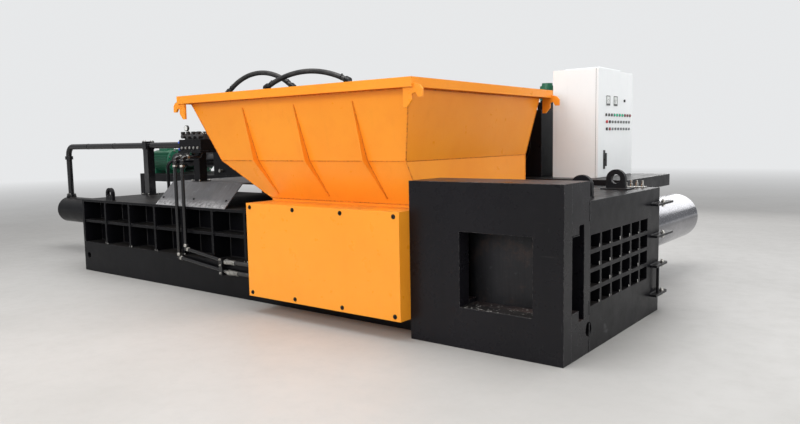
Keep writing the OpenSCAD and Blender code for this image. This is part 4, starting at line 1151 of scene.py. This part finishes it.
def lenses(name, places, look):
    """Lenses that taper outwards, on some of the lamps; the others are dark."""
    face = LAMPS_HI.x
    bm = bmesh.new()
    for y in places:
        add_cylinder(bm, (face - 0.0002, y, LAMP_Z), (face + 0.0035, y, LAMP_Z), 0.0142, 0.011,
                     sides=28)
    piece(name, bm, look, "door")


def handle_plate():
    low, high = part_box("door_handle")
    bm = bmesh.new()
    add_box(bm, (DOOR_FACE, low.y - 0.012, low.z - 0.029),
            (DOOR_FACE + 0.0045, high.y + 0.012, high.z + 0.029), 0.0015)
    piece("handle_plate", bm, "black_plastic", "door")


# inside the cabinet

PLATE_FACE = CABINET_LO.x + 0.021
RAIL_FACE = PLATE_FACE + 0.0075
DUCT_DEPTH = 0.06
# rows of devices from below: height of the rail, count, then width, height and depth of one
DEVICES = (
    (1.36, 26, 0.010, 0.060, 0.045),
    (1.52, 14, 0.022, 0.100, 0.075),
    (1.72, 6, 0.075, 0.110, 0.110),
    (1.90, 8, 0.045, 0.085, 0.090),
    (2.08, 12, 0.018, 0.085, 0.070),
)


def mounting_plate():
    half_rail = 0.0175
    bm = bmesh.new()
    add_box(bm, (PLATE_FACE - 0.003, CABINET_LO.y + 0.055, CABINET_LO.z + 0.05),
            (PLATE_FACE, CABINET_HI.y - 0.07, CABINET_HI.z - 0.071))
    for z, *_ in DEVICES:
        add_box(bm, (PLATE_FACE, 1.42, z - half_rail), (RAIL_FACE, 2.20, z + half_rail))
    piece("mounting_plate", bm, "galvanised")


def cable_ducts():
    """Level ones between the rows, and an upright one at each side."""
    half, width = 0.022, 0.04
    left, right = CABINET_LO.y + 0.06, CABINET_HI.y - 0.115
    front = PLATE_FACE + DUCT_DEPTH
    bm = bmesh.new()
    for z in (1.27, 1.44, 1.62, 1.81, 1.99, 2.16):
        add_box(bm, (PLATE_FACE, left + width + 0.001, z - half), (front, right - 0.001, z + half),
                0.001)
    for y in (left, right):
        add_box(bm, (PLATE_FACE, y, 1.21), (front, y + width, 2.18), 0.001)
    piece("cable_ducts", bm, "grey_plastic")


def switchgear():
    """Contactors with a pale breaker in every third place, noses and screws."""
    first, length = 1.46, 0.68
    contactors, breakers, noses, screws = (bmesh.new() for _ in range(4))
    for rail, count, width, height, depth in DEVICES[::-1]:
        front = RAIL_FACE + depth
        for k in range(count):
            y = first + k * length / count
            housing = contactors if k % 3 else breakers
            add_box(housing, (RAIL_FACE, y, rail - height / 2),
                    (front, y + width, rail + height / 2), 0.002)
            add_box(noses, (front, y + 0.2 * width, rail - 0.22 * height),
                    (front + 0.1 * depth, y + 0.8 * width, rail + 0.22 * height), 0.001)
            for side in (-0.38, 0.38):
                place = Vector((front, y + width / 2, rail + side * height))
                add_cylinder(screws, place, place + X * 0.0015, 0.22 * min(width, 0.02), sides=12)
    piece("contactors", contactors, "black_plastic")
    piece("breakers", breakers, "dial")
    piece("device_noses", noses, "grey_plastic")
    piece("device_screws", screws, "zinc")


def wires():
    """Seven wires along the side wall, and the grommet they go through."""
    bm = bmesh.new()
    for k in range(7):
        fan_out = 0.004 * k
        route = [(-0.60, 2.20, 1.62 + 0.01 * k), (-0.50, 2.255, 1.66),
                 (-0.40, 2.258, 1.70 + fan_out), (-0.34, 2.264, 1.72 + fan_out),
                 (-0.31, 2.284, 1.735 + fan_out)]
        add_tube(bm, smooth_path(route, 6), 0.0035, 7)
    piece("wire_bundle", bm, "rubber", smooth=True)
    x, z = -0.31, 1.747
    wall = CABINET_HI.y - 0.018
    bm = bmesh.new()
    add_cylinder(bm, (x, wall - 0.013, z), (x, wall, z), 0.028, sides=32, bevel=0.002)
    piece("wire_grommet", bm, "black_plastic")


def anchor_bolts():
    """On the foot plates of the deck's legs."""
    inset = 0.065
    plate = 0.015
    points = [p for x in (-1.56, -0.38) for y in (1.11, 2.31)
              for p in around(x, y, plate, inset, inset)]
    bolts("anchor_bolts", points, Z, 0.010, 0.014)


bare_bead_ends()
frame_beads()
top_plates()
top_fittings()
sill_crumbs()
hopper_beads()
cover_washers()
cylinder_bolts()
pipe_seams()
post_bolts()
gate_pipe_fittings()
valve_details()
pressure_gauge()
hose_ends()
hood_bolts()
tank_cover()
tank_gauge()
hose_clamps()
pump_motor_details()
cooler_fan()
upright_motor()
cooler_core()
door_seal()
meter_trim()
panel_rings()
lenses("green_lenses", LAMP_Y[3:7], "green_lens")
lenses("red_lenses", LAMP_Y[7:], "dark_red")
handle_plate()
mounting_plate()
cable_ducts()
switchgear()
wires()
anchor_bolts()
